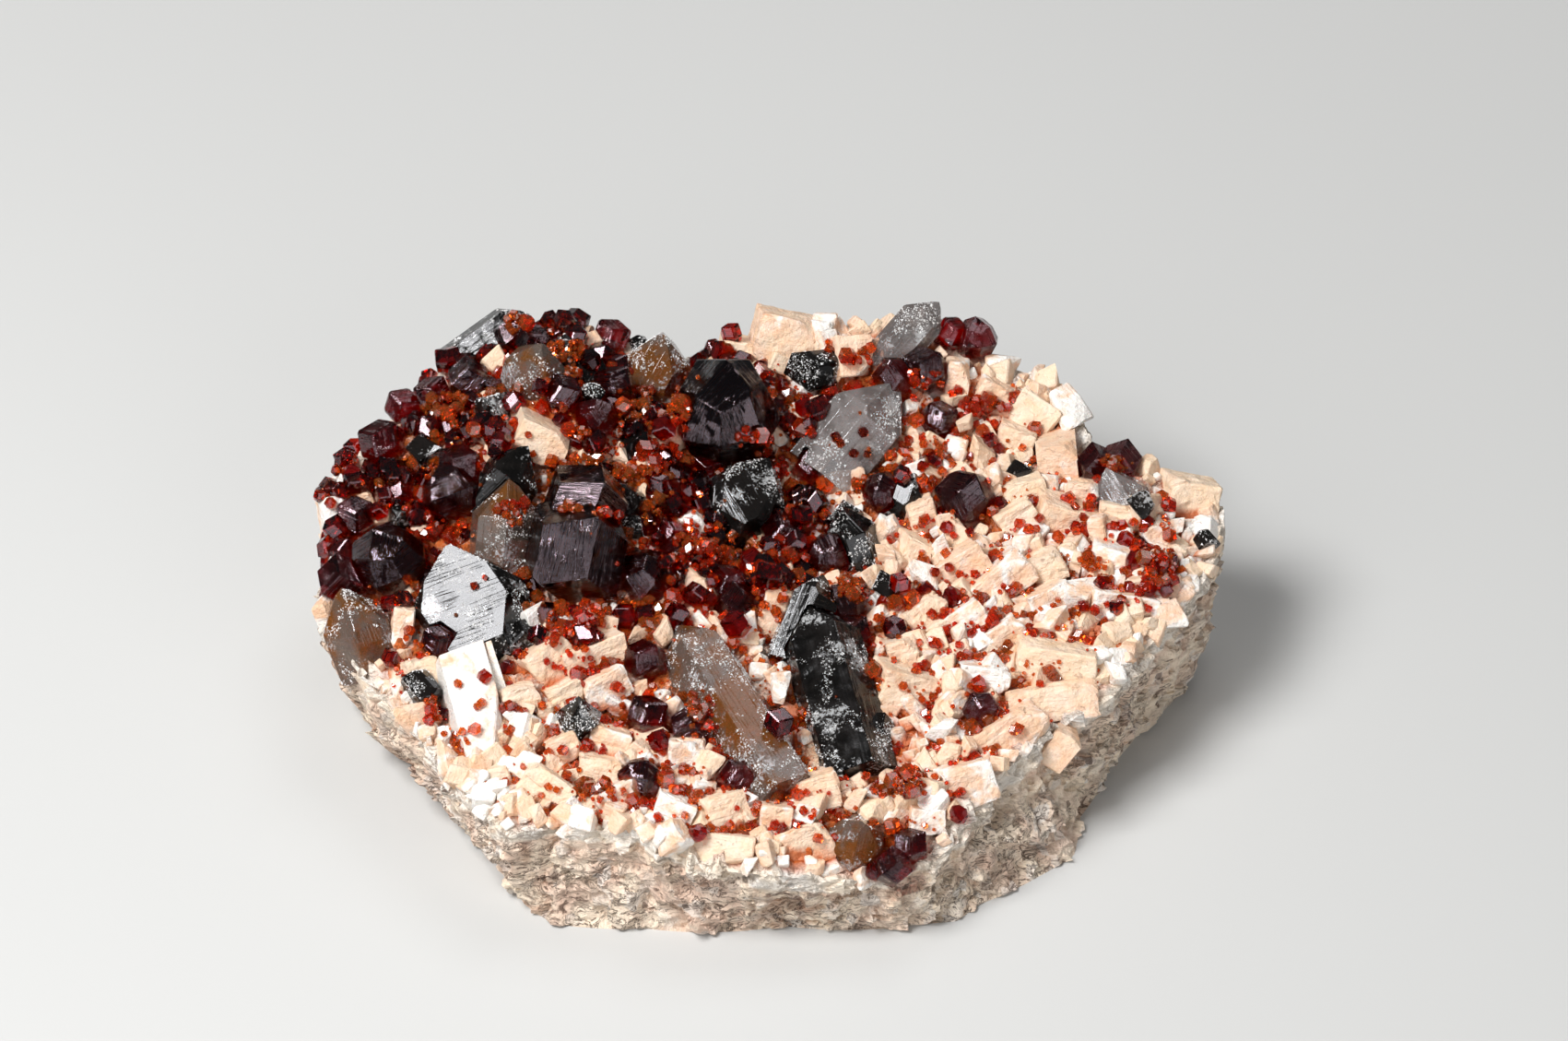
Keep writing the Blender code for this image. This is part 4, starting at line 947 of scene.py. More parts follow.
class SPECIMEN_OT_rock(bpy.types.Operator):
    """Builds the plate of rock"""

    bl_idname = "specimen.rock"
    bl_label = "Rock"

    AROUND, FACE_RINGS, SIDE_RINGS, BASE_RINGS = 560, 96, 46, 8
    LEANS_FROM, EDGE_FROM = 0.97, 0.93  # where the relief and the colour begin to turn into the side's
    SIDE_BOW = 1.8  # the side leaves the rim steeply and flares as this power of the way down
    SIDE_LIFT = 0.25  # how much of the side's relief goes upward
    EDGE_DEPTH, EDGE_CHANGE, EDGE_SIZE, EDGE_FADE = 1.6, 1.3, 9.0, 1.4  # the pale edge below the rim

    def execute(self, context):
        look, feldspar = context.scene.specimen_rock, context.scene.specimen_feldspar
        points, faces, side = self.surface(look)
        finish = finish_named("Broken rock", rock_finish, look, feldspar)
        make_piece("rock", points, faces, finish, ["matrix"], {"side": side})
        return {"FINISHED"}

    def surface(self, look):
        """One closed sheet of angle and way: from the face's middle to the rim, down the side, and in
        under the base. Its radius goes from 0 to the rim, eases to the foot as a power of the way, and
        back to 0; the relief pushes it up on the face and outward on the side."""
        rim, foot = plate_outlines()
        angle = np.linspace(0, math.tau, self.AROUND, endpoint=False)
        rim_reach, foot_reach = reach(rim, angle), reach(foot, angle)
        rim_x, rim_y = rim_reach * np.cos(angle), rim_reach * np.sin(angle)
        rim_height = face_height(rim_x, rim_y)
        wander = smooth_noise(np.column_stack((rim_x, rim_y, 0 * rim_x)), self.EDGE_SIZE, 15)
        edge_depth = self.EDGE_DEPTH + self.EDGE_CHANGE * wander
        rings = []

        def ring(*values):
            rings.append([np.broadcast_to(value, angle.shape) for value in values])

        def towards_half(share, start):
            return max(0.0, share - start) / (1 - start) / 2

        for share in np.arange(1, self.FACE_RINGS + 1) / self.FACE_RINGS:
            height = face_height(share * rim_x, share * rim_y)
            outward, side = (towards_half(share, start) for start in (self.LEANS_FROM, self.EDGE_FROM))
            ring(share * rim_reach, height, outward, side)
        for level in np.arange(1, self.SIDE_RINGS + 1) / self.SIDE_RINGS:
            side = 0.5 + np.clip((rim_height * level - edge_depth) / self.EDGE_FADE, 0.0, 0.5)
            radius = rim_reach + (foot_reach - rim_reach) * level**self.SIDE_BOW
            ring(radius, rim_height * (1 - level), 1.0, side)
        for share in np.arange(self.BASE_RINGS - 1, 0, -1) / self.BASE_RINGS:
            ring(share * foot_reach, 0.0, 0.0, 1.0)
        radii, heights, outward, side = np.array(rings).transpose(1, 0, 2).reshape(4, -1)
        angles = np.tile(angle, len(rings))
        away = np.column_stack((np.cos(angles), np.sin(angles)))
        points = np.column_stack((radii[:, None] * away, heights))
        on_base = np.arange(len(points)) >= (self.FACE_RINGS + self.SIDE_RINGS - 1) * self.AROUND
        push = np.where(on_base, 0.0, self.relief(points, look))
        points[:, :2] += (push * outward)[:, None] * away
        points[:, 2] += push * (np.sqrt(1 - outward**2) + outward * self.SIDE_LIFT)
        points = held_in_box(points)
        points[on_base, 2] = 0.0
        return (*self.closed(points), np.append(side, (0.0, 1.0)))

    def relief(self, points, look):
        """Broken planes of two sizes, sharp ridges and a fine roughness, each with its weight."""
        chunk = look.chunk / MM
        planes = broken_faces(points, chunk, 11) * 1.3 + broken_faces(points, chunk * 0.42, 12) * 0.9
        ridges = 1 - np.abs(smooth_noise(points * (1, 1, 1.6), chunk * 0.45, 14)) * 2
        fine = smooth_noise(points, chunk * 0.2, 13)
        return (planes + ridges * 0.35 + fine * 0.22) * (look.relief / MM)

    def closed(self, points):
        """Quads between the rings, and a fan of triangles at the middle of the face and of the base."""
        rings = len(points) // self.AROUND
        column = np.arange(self.AROUND)
        after = (column + 1) % self.AROUND
        starts = (np.arange(rings - 1) * self.AROUND)[:, None]
        here, beside = starts + column, starts + after
        quads = np.stack((here, here + self.AROUND, beside + self.AROUND, beside), -1).reshape(-1, 4)
        top, bottom = len(points), len(points) + 1
        last = (rings - 1) * self.AROUND
        face_fan = np.column_stack((np.full(self.AROUND, top), column, after))
        base_fan = np.column_stack((np.full(self.AROUND, bottom), last + after, last + column))
        middle = points[:self.AROUND].mean(0)
        points = np.vstack((points, middle, (0.0, 0.0, 0.0)))
        return points, list(quads) + list(face_fan) + list(base_fan)


def gap_depth(points, top=1.5, bottom=3.0, band=3.5):
    """How deep a point lies in the gaps: 1 at the rock's smooth face, and 0 from the top above it, from
    the bottom below it and, over a band, at the rim, where only the blocks' outer sides show."""
    above = points[:, 2] - face_height(points[:, 0], points[:, 1])
    inward = np.clip(way_inside_rim(points) / band, 0, 1)
    return np.clip(1 - above / top, 0, 1) * np.clip(1 + above / bottom, 0, 1) * inward


def near_face(points, below=2.5):
    """Whether points lie no further than this below the rock's smooth face."""
    return points[:, 2] > face_height(points[:, 0], points[:, 1]) - below


class SPECIMEN_OT_feldspar_blocks(bpy.types.Operator):
    """Builds the feldspar crystals that are one with the rock"""

    bl_idname = "specimen.feldspar_blocks"
    bl_label = "Feldspar blocks"

    FIRST_SEED = 9000

    def execute(self, context):
        grid, quads = cube_grid(BLOCK_CELLS)
        shades = np.random.default_rng(self.FIRST_SEED)
        parts, local, tint = [], [], []
        for number, (x, y, wide, tall, deep, rise, roll, tip) in enumerate(ROCK_BLOCKS):
            random = np.random.default_rng(self.FIRST_SEED + number)
            normals, distances = block_planes(wide, tall, deep, random)
            turn = block_turn(roll, tip, math.radians(random.uniform(-SIDE_TURN, SIDE_TURN)))
            half = np.array((wide, tall, deep)) / 2
            points = worn_block(grid, normals, distances, half, shades.uniform(*WEAR))
            shares = np.sort(points @ normals.T / distances, axis=1)
            edge = np.clip((shares[:, -2] / shares[:, -1] - WORN_FROM) / (1 - WORN_FROM), 0, 1)
            points = self.roughened(points, number)
            seat = seen_points([(x, y)], lambda *at: face_height(*at) + rise)[0]
            parts.append((points @ turn.T + (seat - turn[:, 2] * deep * SEAT_DEPTH), quads))
            local.append(points + shades.uniform(-SHIFT, SHIFT, 3))
            tint.append(shades.uniform(0.0, 0.85) + 0.2 * edge)
        points, faces = joined(parts)
        points = held_in_box(points)
        values = {"grain_at": np.vstack(local), "tint": np.concatenate(tint), "depth": gap_depth(points)}
        finish = finish_named("Feldspar", feldspar_finish, context.scene.specimen_feldspar)
        make_piece("feldspar_blocks", points, faces, finish, (), values)
        return {"FINISHED"}

    def roughened(self, points, number):
        """A block moved along its own outward way by broken steps and by noise of two sizes."""
        fine, broad = smooth_noise(points, 0.8, 60 + number), smooth_noise(points, 2.2, 80 + number)
        push = broken_faces(points * (0.6, 1, 1), 1.7, 40 + number) * 0.26 - 0.06
        push += fine * 0.07 + broad * 0.12
        return points + points / np.linalg.norm(points, axis=1)[:, None] * push[:, None]


SHARP_FROM = 18  # edges where faces meet at more than this are bevelled, degrees
GARNET_EDGE, QUARTZ_EDGE, FELDSPAR_EDGE = 0.22, 0.16, 0.14  # width of the bevel


def merged_copy(node, same_point=2e-6, flat_angle=0.02):
    """A copy of a CAD node's mesh with its doubled points merged and its flat faces made whole again."""
    form = bmesh.new()
    form.from_mesh(node.data)
    bmesh.ops.remove_doubles(form, verts=form.verts[:], dist=same_point)
    bmesh.ops.dissolve_limit(form, angle_limit=flat_angle, verts=form.verts[:], edges=form.edges[:])
    mesh = bpy.data.meshes.new(node.name + " dressed")
    form.to_mesh(mesh)
    form.free()
    return mesh


def lay_faces(mesh, seed):
    """A UV map in millimetres on every face: the first axis runs along the face's longest edge, and each
    face has its own shift."""
    random = np.random.default_rng(seed)
    if not mesh.uv_layers:
        mesh.uv_layers.new(name="faces")
    layer = mesh.uv_layers[0].data
    for polygon in mesh.polygons:
        corners = np.array([mesh.vertices[index].co for index in polygon.vertices]) / MM
        edges = np.roll(corners, -1, 0) - corners
        along = edges[np.argmax((edges**2).sum(1))]
        along = along / max(np.linalg.norm(along), 1e-9)
        across = np.cross(np.array(polygon.normal), along)
        shift = random.uniform(-50, 50, 2)
        for loop, corner in zip(polygon.loop_indices, corners):
            layer[loop].uv = (corner @ along + shift[0], corner @ across + shift[1])


def dress_node(name, finish, edge):
    """A piece in a CAD node's place: its merged copy with narrow faces on the edges."""
    mesh = merged_copy(frame["nodes"][name])
    lay_faces(mesh, len(name) * 17 + ord(name[-1]))
    mesh.materials.clear()
    mesh.materials.append(finish)
    mesh.shade_flat()
    bevel = add_piece(name + "_crystal", mesh, [name]).modifiers.new("Edges", "BEVEL")
    bevel.width, bevel.segments, bevel.limit_method = edge * MM, 1, "ANGLE"
    bevel.angle_limit = math.radians(SHARP_FROM)
    bevel.use_clamp_overlap = True
    return mesh


def nodes_called(start):
    """The CAD nodes whose names start so."""
    return sorted(name for name in frame["nodes"] if name.startswith(start))


GARNET_IOR, QUARTZ_IOR = 1.66, 1.54
GARNET_SHEEN, QUARTZ_SHEEN = (0.90, 0.70, 0.78), (0.72, 0.72, 0.74)
CLOUDY_CLEAR = 0.7  # how clear the quartz is
# The cloudy body of the tiny garnets: two colours, and how clear it is
ORANGE_BODIES, ORANGE_CLEAR = ((1.0, 0.075, 0.010), (1.0, 0.26, 0.035)), 0.91


def deep_garnet(look):
    """The finish of the large garnets."""
    return finish_named(
        "Garnet", crystal_glass, tuple(look.passes), look.density, GARNET_IOR, (0.02, 0.12),
        1.6, 0.13 * MM, None, GARNET_SHEEN,
    )


def orange_garnet(look):
    """The finish of the tiny garnets."""
    return finish_named(
        "Orange garnet", crystal_glass, tuple(look.tiny_passes), look.tiny_density, GARNET_IOR,
        (0.02, 0.14), 2.0, 0.01 * MM, ORANGE_BODIES, (1, 1, 1), ORANGE_CLEAR,
    )


class SPECIMEN_OT_garnets(bpy.types.Operator):
    """Dresses the large garnets"""

    bl_idname = "specimen.garnets"
    bl_label = "Large garnets"

    def execute(self, context):
        finish = deep_garnet(context.scene.specimen_garnet)
        for name in nodes_called("garnet"):
            dress_node(name, finish, GARNET_EDGE)
        return {"FINISHED"}


QUARTZ_SHADES = {
    "quartz_frosted": "black", "quartz_brown": "brown", "quartz_speckled": "black",
    "quartz_long_brown": "brown", "quartz_grey_rear": "grey", "quartz_rear_edge": "grey",
    "quartz_left_edge": "brown", "quartz_summit": "black", "quartz_smoky_back": "brown",
    "quartz_pyramid": "brown", "quartz_right_rim": "grey", "quartz_brown_foot": "brown",
}
# The light that each shade lets through, and the two colours of its cloudy body
QUARTZ_COLOURS = {
    "black": ((0.30, 0.22, 0.16), ((0.008, 0.007, 0.006), (0.022, 0.018, 0.016))),
    "brown": ((0.86, 0.52, 0.20), ((0.34, 0.13, 0.03), (0.27, 0.21, 0.17))),
    "grey": ((0.42, 0.38, 0.36), ((0.30, 0.27, 0.26), (0.50, 0.46, 0.45))),
}


def smoky_quartz(look, shade):
    """The finish of black, brown or grey quartz."""
    passes, bodies = QUARTZ_COLOURS[shade]
    return finish_named(
        "Smoky quartz " + shade, crystal_glass, passes, getattr(look, shade), QUARTZ_IOR,
        (0.04, 0.22), 1.2, 0.05 * MM, bodies, QUARTZ_SHEEN, CLOUDY_CLEAR, True,
    )


class SPECIMEN_OT_quartz(bpy.types.Operator):
    """Dresses the smoky quartz crystals"""

    bl_idname = "specimen.quartz"
    bl_label = "Smoky quartz"

    def execute(self, context):
        look = context.scene.specimen_quartz
        for name in nodes_called("quartz"):
            finish = smoky_quartz(look, QUARTZ_SHADES.get(name, "black"))
            dress_node(name, finish, QUARTZ_EDGE)
        return {"FINISHED"}


class SPECIMEN_OT_feldspar_crystals(bpy.types.Operator):
    """Dresses the feldspar crystals that stand clear"""

    bl_idname = "specimen.feldspar_crystals"
    bl_label = "Feldspar crystals"

    TINTS, WHITE_TINT = {"feldspar_cream": 0.3, "feldspar_round_right": 0.55}, 0.95

    def execute(self, context):
        finish = finish_named("Feldspar", feldspar_finish, context.scene.specimen_feldspar)
        for name in nodes_called("feldspar"):
            mesh = dress_node(name, finish, FELDSPAR_EDGE)
            points = mesh_points(mesh)
            tint = np.full(len(points), self.TINTS.get(name, self.WHITE_TINT))
            write_values(mesh, {"tint": tint, "depth": gap_depth(points), "grain_at": points @ VIEW_AXES})
        return {"FINISHED"}


# Garnets cover the ground of the view left of a border and above a level, and both fade over a width
FIELD_BORDER = ((360, 430, 550, 640), (765, 860, 880, 905))  # heights, and the border's place at them
FIELD_LEVEL, BORDER_FADE, LEVEL_FADE = 655, 14, 18


def garnet_share(places):
    """How much of the ground at these places of the view is garnet rather than feldspar, 0 to 1."""
    border = np.interp(places[:, 1], *FIELD_BORDER)
    left = 1 / (1 + np.exp((places[:, 0] - border) / BORDER_FADE))
    high = 1 / (1 + np.exp((places[:, 1] - FIELD_LEVEL) / LEVEL_FADE))
    return left * high


def jittered_grid(border, spacing, height, random):
    """A level grid over the frame's box and a border round it, plain and with each place moved by up to
    half the spacing."""
    grid = np.meshgrid(*(
        np.arange(low - border, high + border, spacing) for low, high in zip(BOX_LOW[:2], BOX_HIGH[:2])
    ))
    grid = np.column_stack([part.ravel() for part in grid])
    moved = grid + random.uniform(-0.5, 0.5, grid.shape) * spacing
    return grid, np.column_stack((moved, np.full(len(grid), height)))


def ground_samples(tree, spacing, seed, lean=0.8, border=30.0, level=18.0, start=60.0):
    """Places spread over the specimen: rays from above and leaning from four sides. They start so far
    away from a jittered grid at the level."""
    random = np.random.default_rng(seed)
    starts, directions = [], []
    for leans in ((0, 0), (lean, 0), (-lean, 0), (0, lean), (0, -lean)):
        direction = np.array((*leans, -1.0))
        direction /= np.linalg.norm(direction)
        _, base = jittered_grid(border, spacing, level, random)
        starts.append(base - direction * start)
        directions.append(np.repeat(direction[None], len(base), 0))
    return cast(tree, np.vstack(starts), np.vstack(directions))


def solid_pieces(*starts):
    """Pieces whose names start so, which others can be seated on."""
    return [
        item for item in bpy.data.objects
        if item.type == "MESH" and item.name.startswith(starts) and "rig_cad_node" not in item
    ]


class SPECIMEN_OT_small_feldspar(bpy.types.Operator):
    """Fills the plate's face with small feldspar crystals"""

    bl_idname = "specimen.small_feldspar"
    bl_label = "Small feldspar"

    SHAPES, CHAMFER = 24, 0.045
    ABOVE = 60.0  # rays fall from this height
    BARE = 0.15  # the rock counts as bare where nothing stands higher over it than this
    RIM_CLEARANCE, CRYSTAL_CLEARANCE = 0.6, 0.8
    SIZES, LARGE_SHARE, LARGER = (1.1, 3.2), 0.15, 1.35
    STRETCH, LIFT = (0.7, 1.35), (-0.2, 0.45)
    SMALL, WHITENESS = 2.2, (0.4, 0.9)  # smaller ones are whiter, by the power of a random number

    def seats(self, spacing, random):
        """Places where the face is bare, fewer of them in the garnet field."""
        grid, starts = jittered_grid(0, spacing, self.ABOVE, random)
        down = np.repeat(np.array([[0, 0, -1.0]]), len(starts), 0)
        on_rock, _, met = cast(tree_of(solid_pieces("rock")), starts, down)
        top, _, _ = cast(tree_of(solid_pieces("rock", "feldspar", "garnet", "quartz")), starts, down)
        rim, _ = plate_outlines()
        rim_reach = reach(rim, np.arctan2(starts[:, 1], starts[:, 0]))
        inside = np.hypot(*grid.T) < rim_reach - self.RIM_CLEARANCE
        seats = on_rock[met & inside & (top[:, 2] - on_rock[:, 2] < self.BARE)]
        share = garnet_share(picture_places(seats)) * 0.75
        clear = clearance(large_crystals(), seats) > self.CRYSTAL_CLEARANCE
        return seats[(random.uniform(size=len(seats)) > share) & clear]

    def execute(self, context):
        look = context.scene.specimen_feldspar
        random = np.random.default_rng(5)
        seats = self.seats(look.spacing / MM, random)
        number = len(seats)
        # The cleavage leans one way right of the middle of the view and another way left of it
        slant = np.where(picture_places(seats)[:, 0] > 900, 32.0, 8.0) + random.normal(0, 38, number)
        shapes = [chip_shape(700 + kind, self.CHAMFER) for kind in range(self.SHAPES)]
        sizes = random.uniform(*self.SIZES, number)
        sizes *= np.where(random.uniform(size=number) < self.LARGE_SHARE, self.LARGER, 1.0)
        parts, local, tint = [], [], []
        for index, (seat, size) in enumerate(zip(seats, sizes)):
            points, faces = shapes[index % len(shapes)]
            turn = block_turn(slant[index], random.normal(4, 26), random.normal(0, 0.45))
            grown = points * size * random.uniform(*self.STRETCH, 3)
            placed = grown @ turn.T + (seat + (0, 0, random.uniform(*self.LIFT)))
            own = grown + random.uniform(-SHIFT, SHIFT, 3)
            shade = random.uniform() ** self.WHITENESS[int(size >= self.SMALL)]
            if inside_box(placed).all():
                parts.append((placed, faces))
                local.append(own)
                tint.append(np.full(len(points), shade))
        points, faces = joined(parts)
        values = {"grain_at": np.vstack(local), "tint": np.concatenate(tint), "depth": gap_depth(points)}
        finish = finish_named("Feldspar", feldspar_finish, look)
        make_piece("feldspar_small", points, faces, finish, (), values)
        return {"FINISHED"}


class SPECIMEN_OT_dark_chips(bpy.types.Operator):
    """Sets small dark quartz chips among the crystals"""

    bl_idname = "specimen.dark_chips"
    bl_label = "Dark chips"

    SHAPES, CHAMFER, SINK = 9, 0.03, 0.38

    def execute(self, context):
        random = np.random.default_rng(6)
        listed = np.array(DARK_CHIPS)
        places, normals, met = seen_on(tree_of(solid_pieces("rock", "feldspar")), listed[:, :2])
        shapes = [chip_shape(900 + kind, self.CHAMFER) for kind in range(self.SHAPES)]
        points, faces = seated(shapes, places[met], normals[met], listed[met, 2], random, self.SINK)
        finish = smoky_quartz(context.scene.specimen_quartz, "black")
        make_piece("quartz_chips", points, faces, finish)
        return {"FINISHED"}


def seated(shapes, places, normals, sizes, random, sink=0.18):
    """Crystals of mixed shapes on the ground, turned at random and sunk by a share of their size."""
    parts = []
    kinds = random.integers(0, len(shapes), len(places))
    turns = random_turns(len(places), random)
    at = places + normals * (sizes * (0.5 - sink))[:, None]
    half = sizes[:, None] / 2
    inside = inside_box(at + half) & inside_box(at - half)
    for kind, shape in enumerate(shapes):
        chosen = (kinds == kind) & inside
        if chosen.any():
            parts.append(many(shape, turns[chosen], sizes[chosen], at[chosen]))
    return joined(parts)


def large_crystals():
    """The large garnets, the quartz and the feldspar crystals that stand clear."""
    return solid_pieces("garnet", "quartz", "feldspar_cream", "feldspar_white", "feldspar_round")


def clearance(objects, points):
    """Distance from each point to the nearest of these pieces."""
    tree = tree_of(objects)
    return np.array([tree.find_nearest(Vector(point))[3] for point in points])


class SPECIMEN_OT_small_garnets(bpy.types.Operator):
    """Strews small and tiny garnets over the specimen"""

    bl_idname = "specimen.small_garnets"
    bl_label = "Small garnets"

    EDGE = 0.02
    FIELD_SPACING, FIELD_SIZES, FIELD_CLEARANCE, FIELD_FILL = 3.1, (1.3, 3.3), 0.5, 0.8
    TINY_SPACING, TINY_CLEARANCE, TINY_SINK = 0.95, 0.25, 0.1
    TINY_SIZES, TINY_LIMITS = (2.6, 0.23), (0.25, 2.1)  # of a gamma distribution, and what it is held to
    GAP_CELL, GAP_REACH = 3.0, 1.2  # gaps are as deep as places lie below the mean of such a cell
    RIM_START, RIM_FADE = 0.8, 2.0  # tiny ones begin this far inside the rim and thicken over this way
    CRUST_FILL = 0.8

    def execute(self, context):
        look = context.scene.specimen_garnet
        random = np.random.default_rng(8)
        solids = tree_of(solid_pieces("rock", "feldspar", "garnet", "quartz"))
        finish = deep_garnet(look)
        kites = [garnet_shape("kite", 0, seed) for seed in range(3)]
        cut_rhombs = [garnet_shape("rhomb", self.EDGE, seed) for seed in range(5)]
        named = np.array(SMALL_GARNETS)
        places, normals, met = seen_on(solids, named[:, :2])
        points, faces = seated(cut_rhombs + kites, places[met], normals[met], named[met, 2], random)
        make_piece("small_garnets_placed", points, faces, finish)
        # In the garnet field, small crystals stand close together
        spots, normals, met = ground_samples(solids, self.FIELD_SPACING, 21)
        spots, normals = spots[met], normals[met]
        share = garnet_share(picture_places(spots)) * near_face(spots) * (normals[:, 2] > 0.1)
        share *= clearance(large_crystals(), spots) > self.FIELD_CLEARANCE
        chosen = random.uniform(size=len(spots)) < share * self.FIELD_FILL
        sizes = random.uniform(*self.FIELD_SIZES, chosen.sum())
        points, faces = seated(cut_rhombs, spots[chosen], normals[chosen], sizes, random)
        make_piece("small_garnets_field", points, faces, finish)
        self.tiny_ones(look, random)
        return {"FINISHED"}

    def tiny_ones(self, look, random):
        """Tiny garnets in the gaps: places lower than their surroundings are preferred, and the listed
        crusts are filled."""
        solids = tree_of(solid_pieces("rock", "feldspar", "garnet", "quartz", "small_garnets"))
        spots, normals, met = ground_samples(solids, self.TINY_SPACING, 33)
        spots, normals = spots[met], normals[met]
        places = picture_places(spots)
        likely = np.clip(self.below_mean(spots) / self.GAP_REACH + 0.1, 0, 1) ** 1.2
        likely *= 0.4 + 0.9 * garnet_share(places) + 0.9 * (smooth_noise(spots, 7.0, 4) > 0.1)
        likely *= np.where(normals[:, 2] > -0.1, 1.0, 0.2) * near_face(spots)
        likely *= np.clip((way_inside_rim(spots) - self.RIM_START) / self.RIM_FADE, 0, 1)
        likely *= np.where(clearance(large_crystals(), spots) > self.TINY_CLEARANCE, 1.0, 0.04)
        likely = likely / likely.sum() * look.tiny
        for x, y, across, up in ORANGE_CRUSTS:
            inside = ((places[:, 0] - x) / across) ** 2 + ((places[:, 1] - y) / up) ** 2 < 1
            likely = np.maximum(likely, inside * near_face(spots) * self.CRUST_FILL)
        chosen = random.uniform(size=len(spots)) < likely
        sizes = np.clip(random.gamma(*self.TINY_SIZES, chosen.sum()), *self.TINY_LIMITS)
        rhombs = [garnet_shape("rhomb", 0, seed) for seed in range(4)]
        points, faces = seated(rhombs, spots[chosen], normals[chosen], sizes, random, self.TINY_SINK)
        make_piece("tiny_garnets", points, faces, orange_garnet(look))

    def below_mean(self, spots):
        """How far each place lies below the mean height of its cell of a square grid."""
        cells = np.floor(spots[:, :2] / self.GAP_CELL).astype(int)
        _, group, totals = np.unique(cells, axis=0, return_inverse=True, return_counts=True)
        group = group.ravel()
        return (np.bincount(group, spots[:, 2]) / totals)[group] - spots[:, 2]


class SPECIMEN_OT_frost(bpy.types.Operator):
    """Lays white specks on the quartz faces"""

    bl_idname = "specimen.frost"
    bl_label = "Frost"

    PATCHES = ((3.6, 9, 1.0), (1.3, 10, 0.8), (0.5, 11, 0.5))  # noise: size, seed, weight
    SIZES, LIMITS = (1.8, 0.075), (0.08, 0.5)  # of a gamma distribution, and what it is held to
    MARGIN = 0.4
    SPECK = (
        np.array(((0.6, 0, -0.1), (-0.3, 0.5, -0.1), (-0.3, -0.5, -0.1), (0, 0, 0.3))),
        np.array(((0, 1, 3), (1, 2, 3), (2, 0, 3), (0, 2, 1))),
    )

    def execute(self, context):
        look = context.scene.specimen_quartz
        random = np.random.default_rng(12)
        spots, normals = points_on(solid_pieces("quartz_"), look.flecks * 6, random)
        patch = sum(smooth_noise(spots, size, seed) * weight for size, seed, weight in self.PATCHES)
        likely = np.clip(patch * 1.4 + 0.08, 0, 1) ** 2 * np.clip(normals[:, 2] + 0.4, 0, 1)
        chosen = random.uniform(size=len(spots)) < likely / likely.sum() * look.flecks
        spots, normals = spots[chosen], normals[chosen]
        sizes = np.clip(random.gamma(*self.SIZES, len(spots)), *self.LIMITS)
        turns = frames_on(normals, random)
        stretch = np.column_stack((random.uniform(0.7, 1.2, (len(sizes), 2)), np.ones(len(sizes))))
        keep = inside_box(spots, self.MARGIN)
        points, faces = many(self.SPECK, turns[keep], (sizes[:, None] * stretch)[keep], spots[keep])
        make_piece("frost", points, faces, finish_named("Frost", fleck_finish))
        return {"FINISHED"}


def frames_on(normals, random):
    """Turns whose third axis is the normal, spun at random about it."""
    side = np.cross(normals, random.normal(size=normals.shape))
    side /= np.linalg.norm(side, axis=1)[:, None]
    return np.stack((side, np.cross(normals, side), normals), -1)


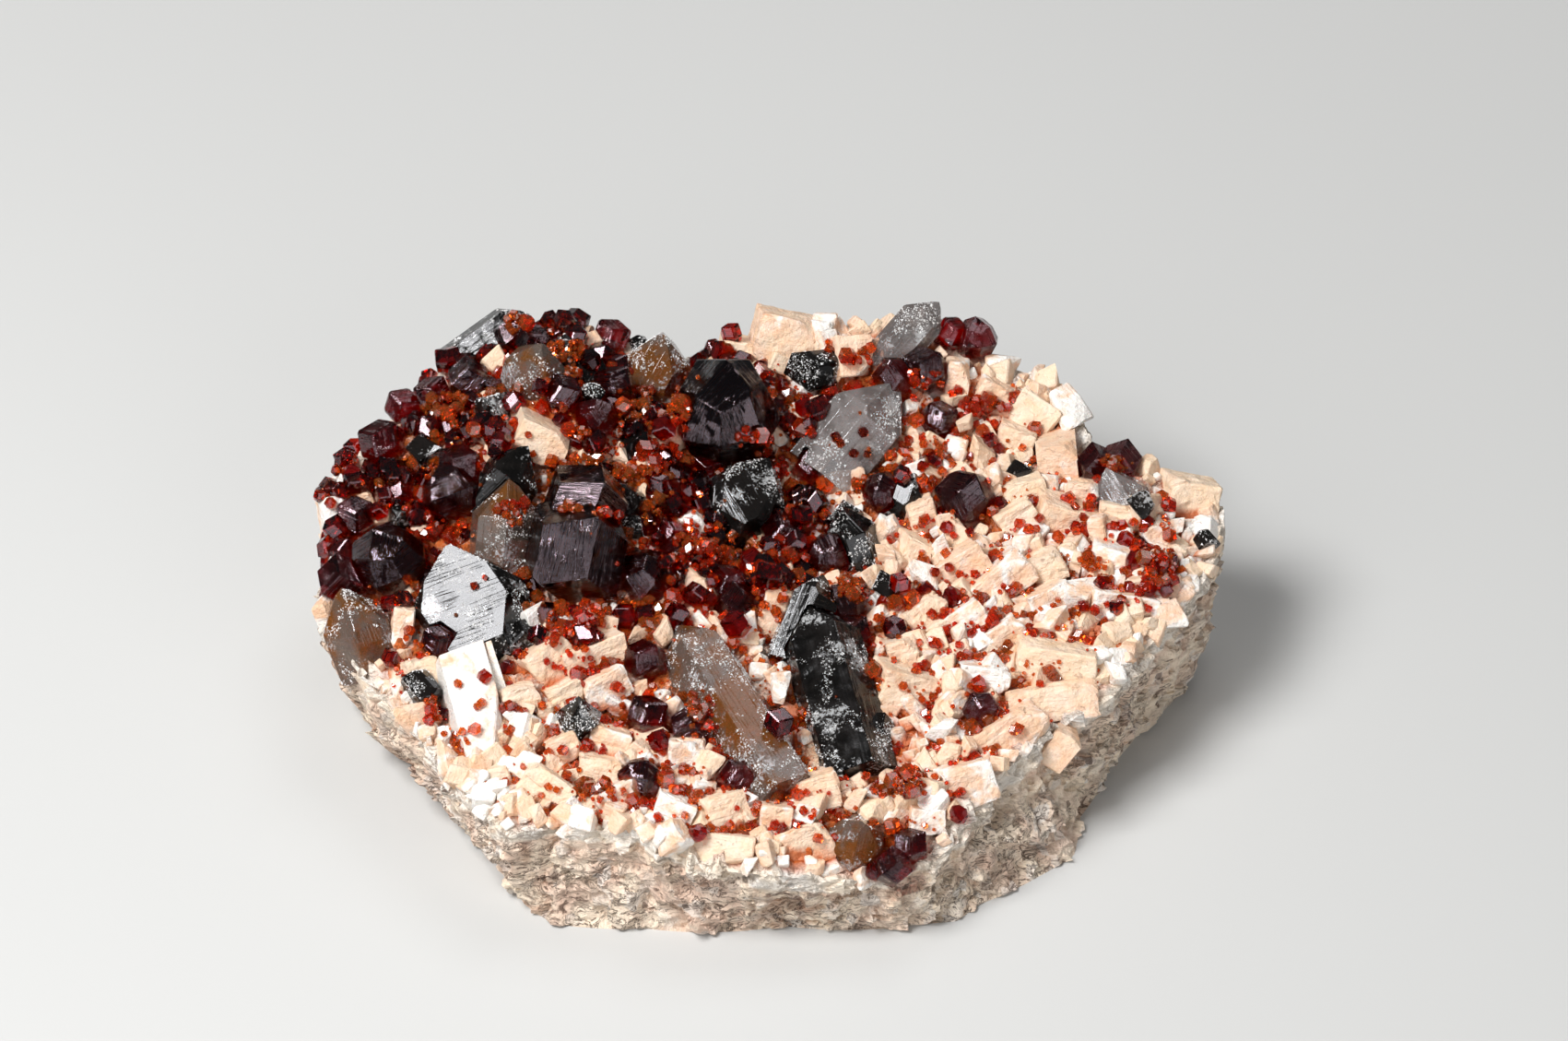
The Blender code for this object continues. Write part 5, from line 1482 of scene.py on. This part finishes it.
class SPECIMEN_OT_stage(bpy.types.Operator):
    """Makes the floor, the lights and the camera"""

    bl_idname = "specimen.stage"
    bl_label = "Stage"

    # Each light: azimuth and elevation in degrees, distance and size in metres. Azimuth 0 is behind the
    # specimen and 90 to its right
    LIGHTS = {
        "Key": (242.0, 58.0, 0.75, 0.32), "Front": (219.0, 32.0, 0.80, 0.50),
        "Fill": (150.0, 22.0, 0.80, 0.50), "Back": (20.0, 58.0, 0.75, 0.36),
    }
    LIT_POINT = Vector((0, 0, 0.02))
    SKY, SKY_STRENGTH = (0.95, 0.97, 1.0, 1), 0.09
    FLOOR_REACH, FLOOR_CELLS = 3.0, 8

    def execute(self, context):
        look = context.scene.specimen_stage
        self.floor(look)
        for name, (azimuth, elevation, distance, size) in self.LIGHTS.items():
            self.light(name, azimuth, elevation, distance, size, getattr(look, name.lower()))
        world = bpy.data.worlds.new("Studio")
        world.use_nodes = True
        set_inputs(world.node_tree.nodes["Background"], Color=self.SKY, Strength=self.SKY_STRENGTH)
        context.scene.world = world
        context.scene.view_settings.view_transform = "Standard"
        camera = bpy.data.objects.new("Camera", bpy.data.cameras.new("Camera"))
        camera.data.sensor_width = SENSOR
        camera.data.lens = SENSOR * VIEW_DISTANCE * PIXELS_PER_MM / PICTURE_WIDTH
        camera.data.clip_start, camera.data.clip_end = 0.01, 20.0
        camera.location = EYE * MM
        camera.rotation_euler = (math.pi / 2 - VIEW_ELEVATION, 0, 0)
        context.scene.collection.objects.link(camera)
        context.scene.camera = camera
        return {"FINISHED"}

    def floor(self, look):
        """A flat sheet of two parameters, with a broad faint mottle."""
        row = self.FLOOR_CELLS + 1
        along = np.linspace(-self.FLOOR_REACH, self.FLOOR_REACH, row)
        x, y = np.meshgrid(along, along)
        points = np.column_stack((x.ravel(), y.ravel(), np.zeros(x.size)))
        start = (np.arange(row - 1)[:, None] * row + np.arange(row - 1)).ravel()
        faces = np.column_stack((start, start + 1, start + row + 1, start + row))
        mesh = bpy.data.meshes.new("floor")
        mesh.from_pydata(points.tolist(), [], faces.tolist())
        made, tree, shader, at, _ = new_material("Floor")
        faint = span(tree, noise_of(tree, at, 3.0, 2.0), 0.3, 0.7)
        darker = tuple(part * 0.97 for part in look.floor)
        tree.links.new(blend(tree, faint, darker, look.floor), shader.inputs["Base Color"])
        set_inputs(shader, Roughness=0.7)
        mesh.materials.append(made)
        floor = bpy.data.objects.new("floor", mesh)
        bpy.context.scene.collection.objects.link(floor)

    def light(self, name, azimuth, elevation, distance, size, power):
        """A square soft light turned to the specimen."""
        azimuth, elevation = math.radians(azimuth), math.radians(elevation)
        flat = math.cos(elevation)
        way = Vector((math.sin(azimuth) * flat, math.cos(azimuth) * flat, math.sin(elevation)))
        lamp = bpy.data.lights.new(name, "AREA")
        lamp.shape, lamp.size, lamp.energy = "SQUARE", size, power
        made = bpy.data.objects.new(name, lamp)
        made.location = way * distance
        made.rotation_euler = (way * distance - self.LIT_POINT).to_track_quat("Z", "Y").to_euler()
        bpy.context.scene.collection.objects.link(made)


class SPECIMEN_PT_panel(bpy.types.Panel):
    """Lists the specimen's pieces"""

    bl_idname = "SPECIMEN_PT_panel"
    bl_label = "Garnet in Matrix"
    bl_space_type = "VIEW_3D"
    bl_region_type = "UI"
    bl_category = "Specimen"

    def draw(self, context):
        for settings in SETTINGS:
            box = self.layout.box()
            group = getattr(context.scene, settings)
            for key in type(group).__annotations__:
                box.prop(group, key)
        for operator in OPERATORS:
            self.layout.operator(operator.bl_idname)


SETTINGS = {
    "specimen_rock": RockSettings,
    "specimen_feldspar": FeldsparSettings,
    "specimen_garnet": GarnetSettings,
    "specimen_quartz": QuartzSettings,
    "specimen_stage": StageSettings,
}
OPERATORS = [
    SPECIMEN_OT_rock, SPECIMEN_OT_feldspar_blocks, SPECIMEN_OT_garnets, SPECIMEN_OT_quartz,
    SPECIMEN_OT_feldspar_crystals, SPECIMEN_OT_small_feldspar, SPECIMEN_OT_dark_chips,
    SPECIMEN_OT_small_garnets, SPECIMEN_OT_frost, SPECIMEN_OT_stage,
]


def register():
    """Registers the settings, the operators and the panel."""
    for made in [*SETTINGS.values(), *OPERATORS, SPECIMEN_PT_panel]:
        bpy.utils.register_class(made)
    for name, settings in SETTINGS.items():
        setattr(bpy.types.Scene, name, PointerProperty(type=settings))


def unregister():
    """Takes them away again."""
    for name in SETTINGS:
        delattr(bpy.types.Scene, name)
    for made in [SPECIMEN_PT_panel, *reversed(OPERATORS), *reversed(SETTINGS.values())]:
        bpy.utils.unregister_class(made)


def main():
    """Builds the whole specimen."""
    register()
    for operator in OPERATORS:
        group, name = operator.bl_idname.split(".")
        getattr(getattr(bpy.ops, group), name)()


if __name__ == "__main__":
    main()
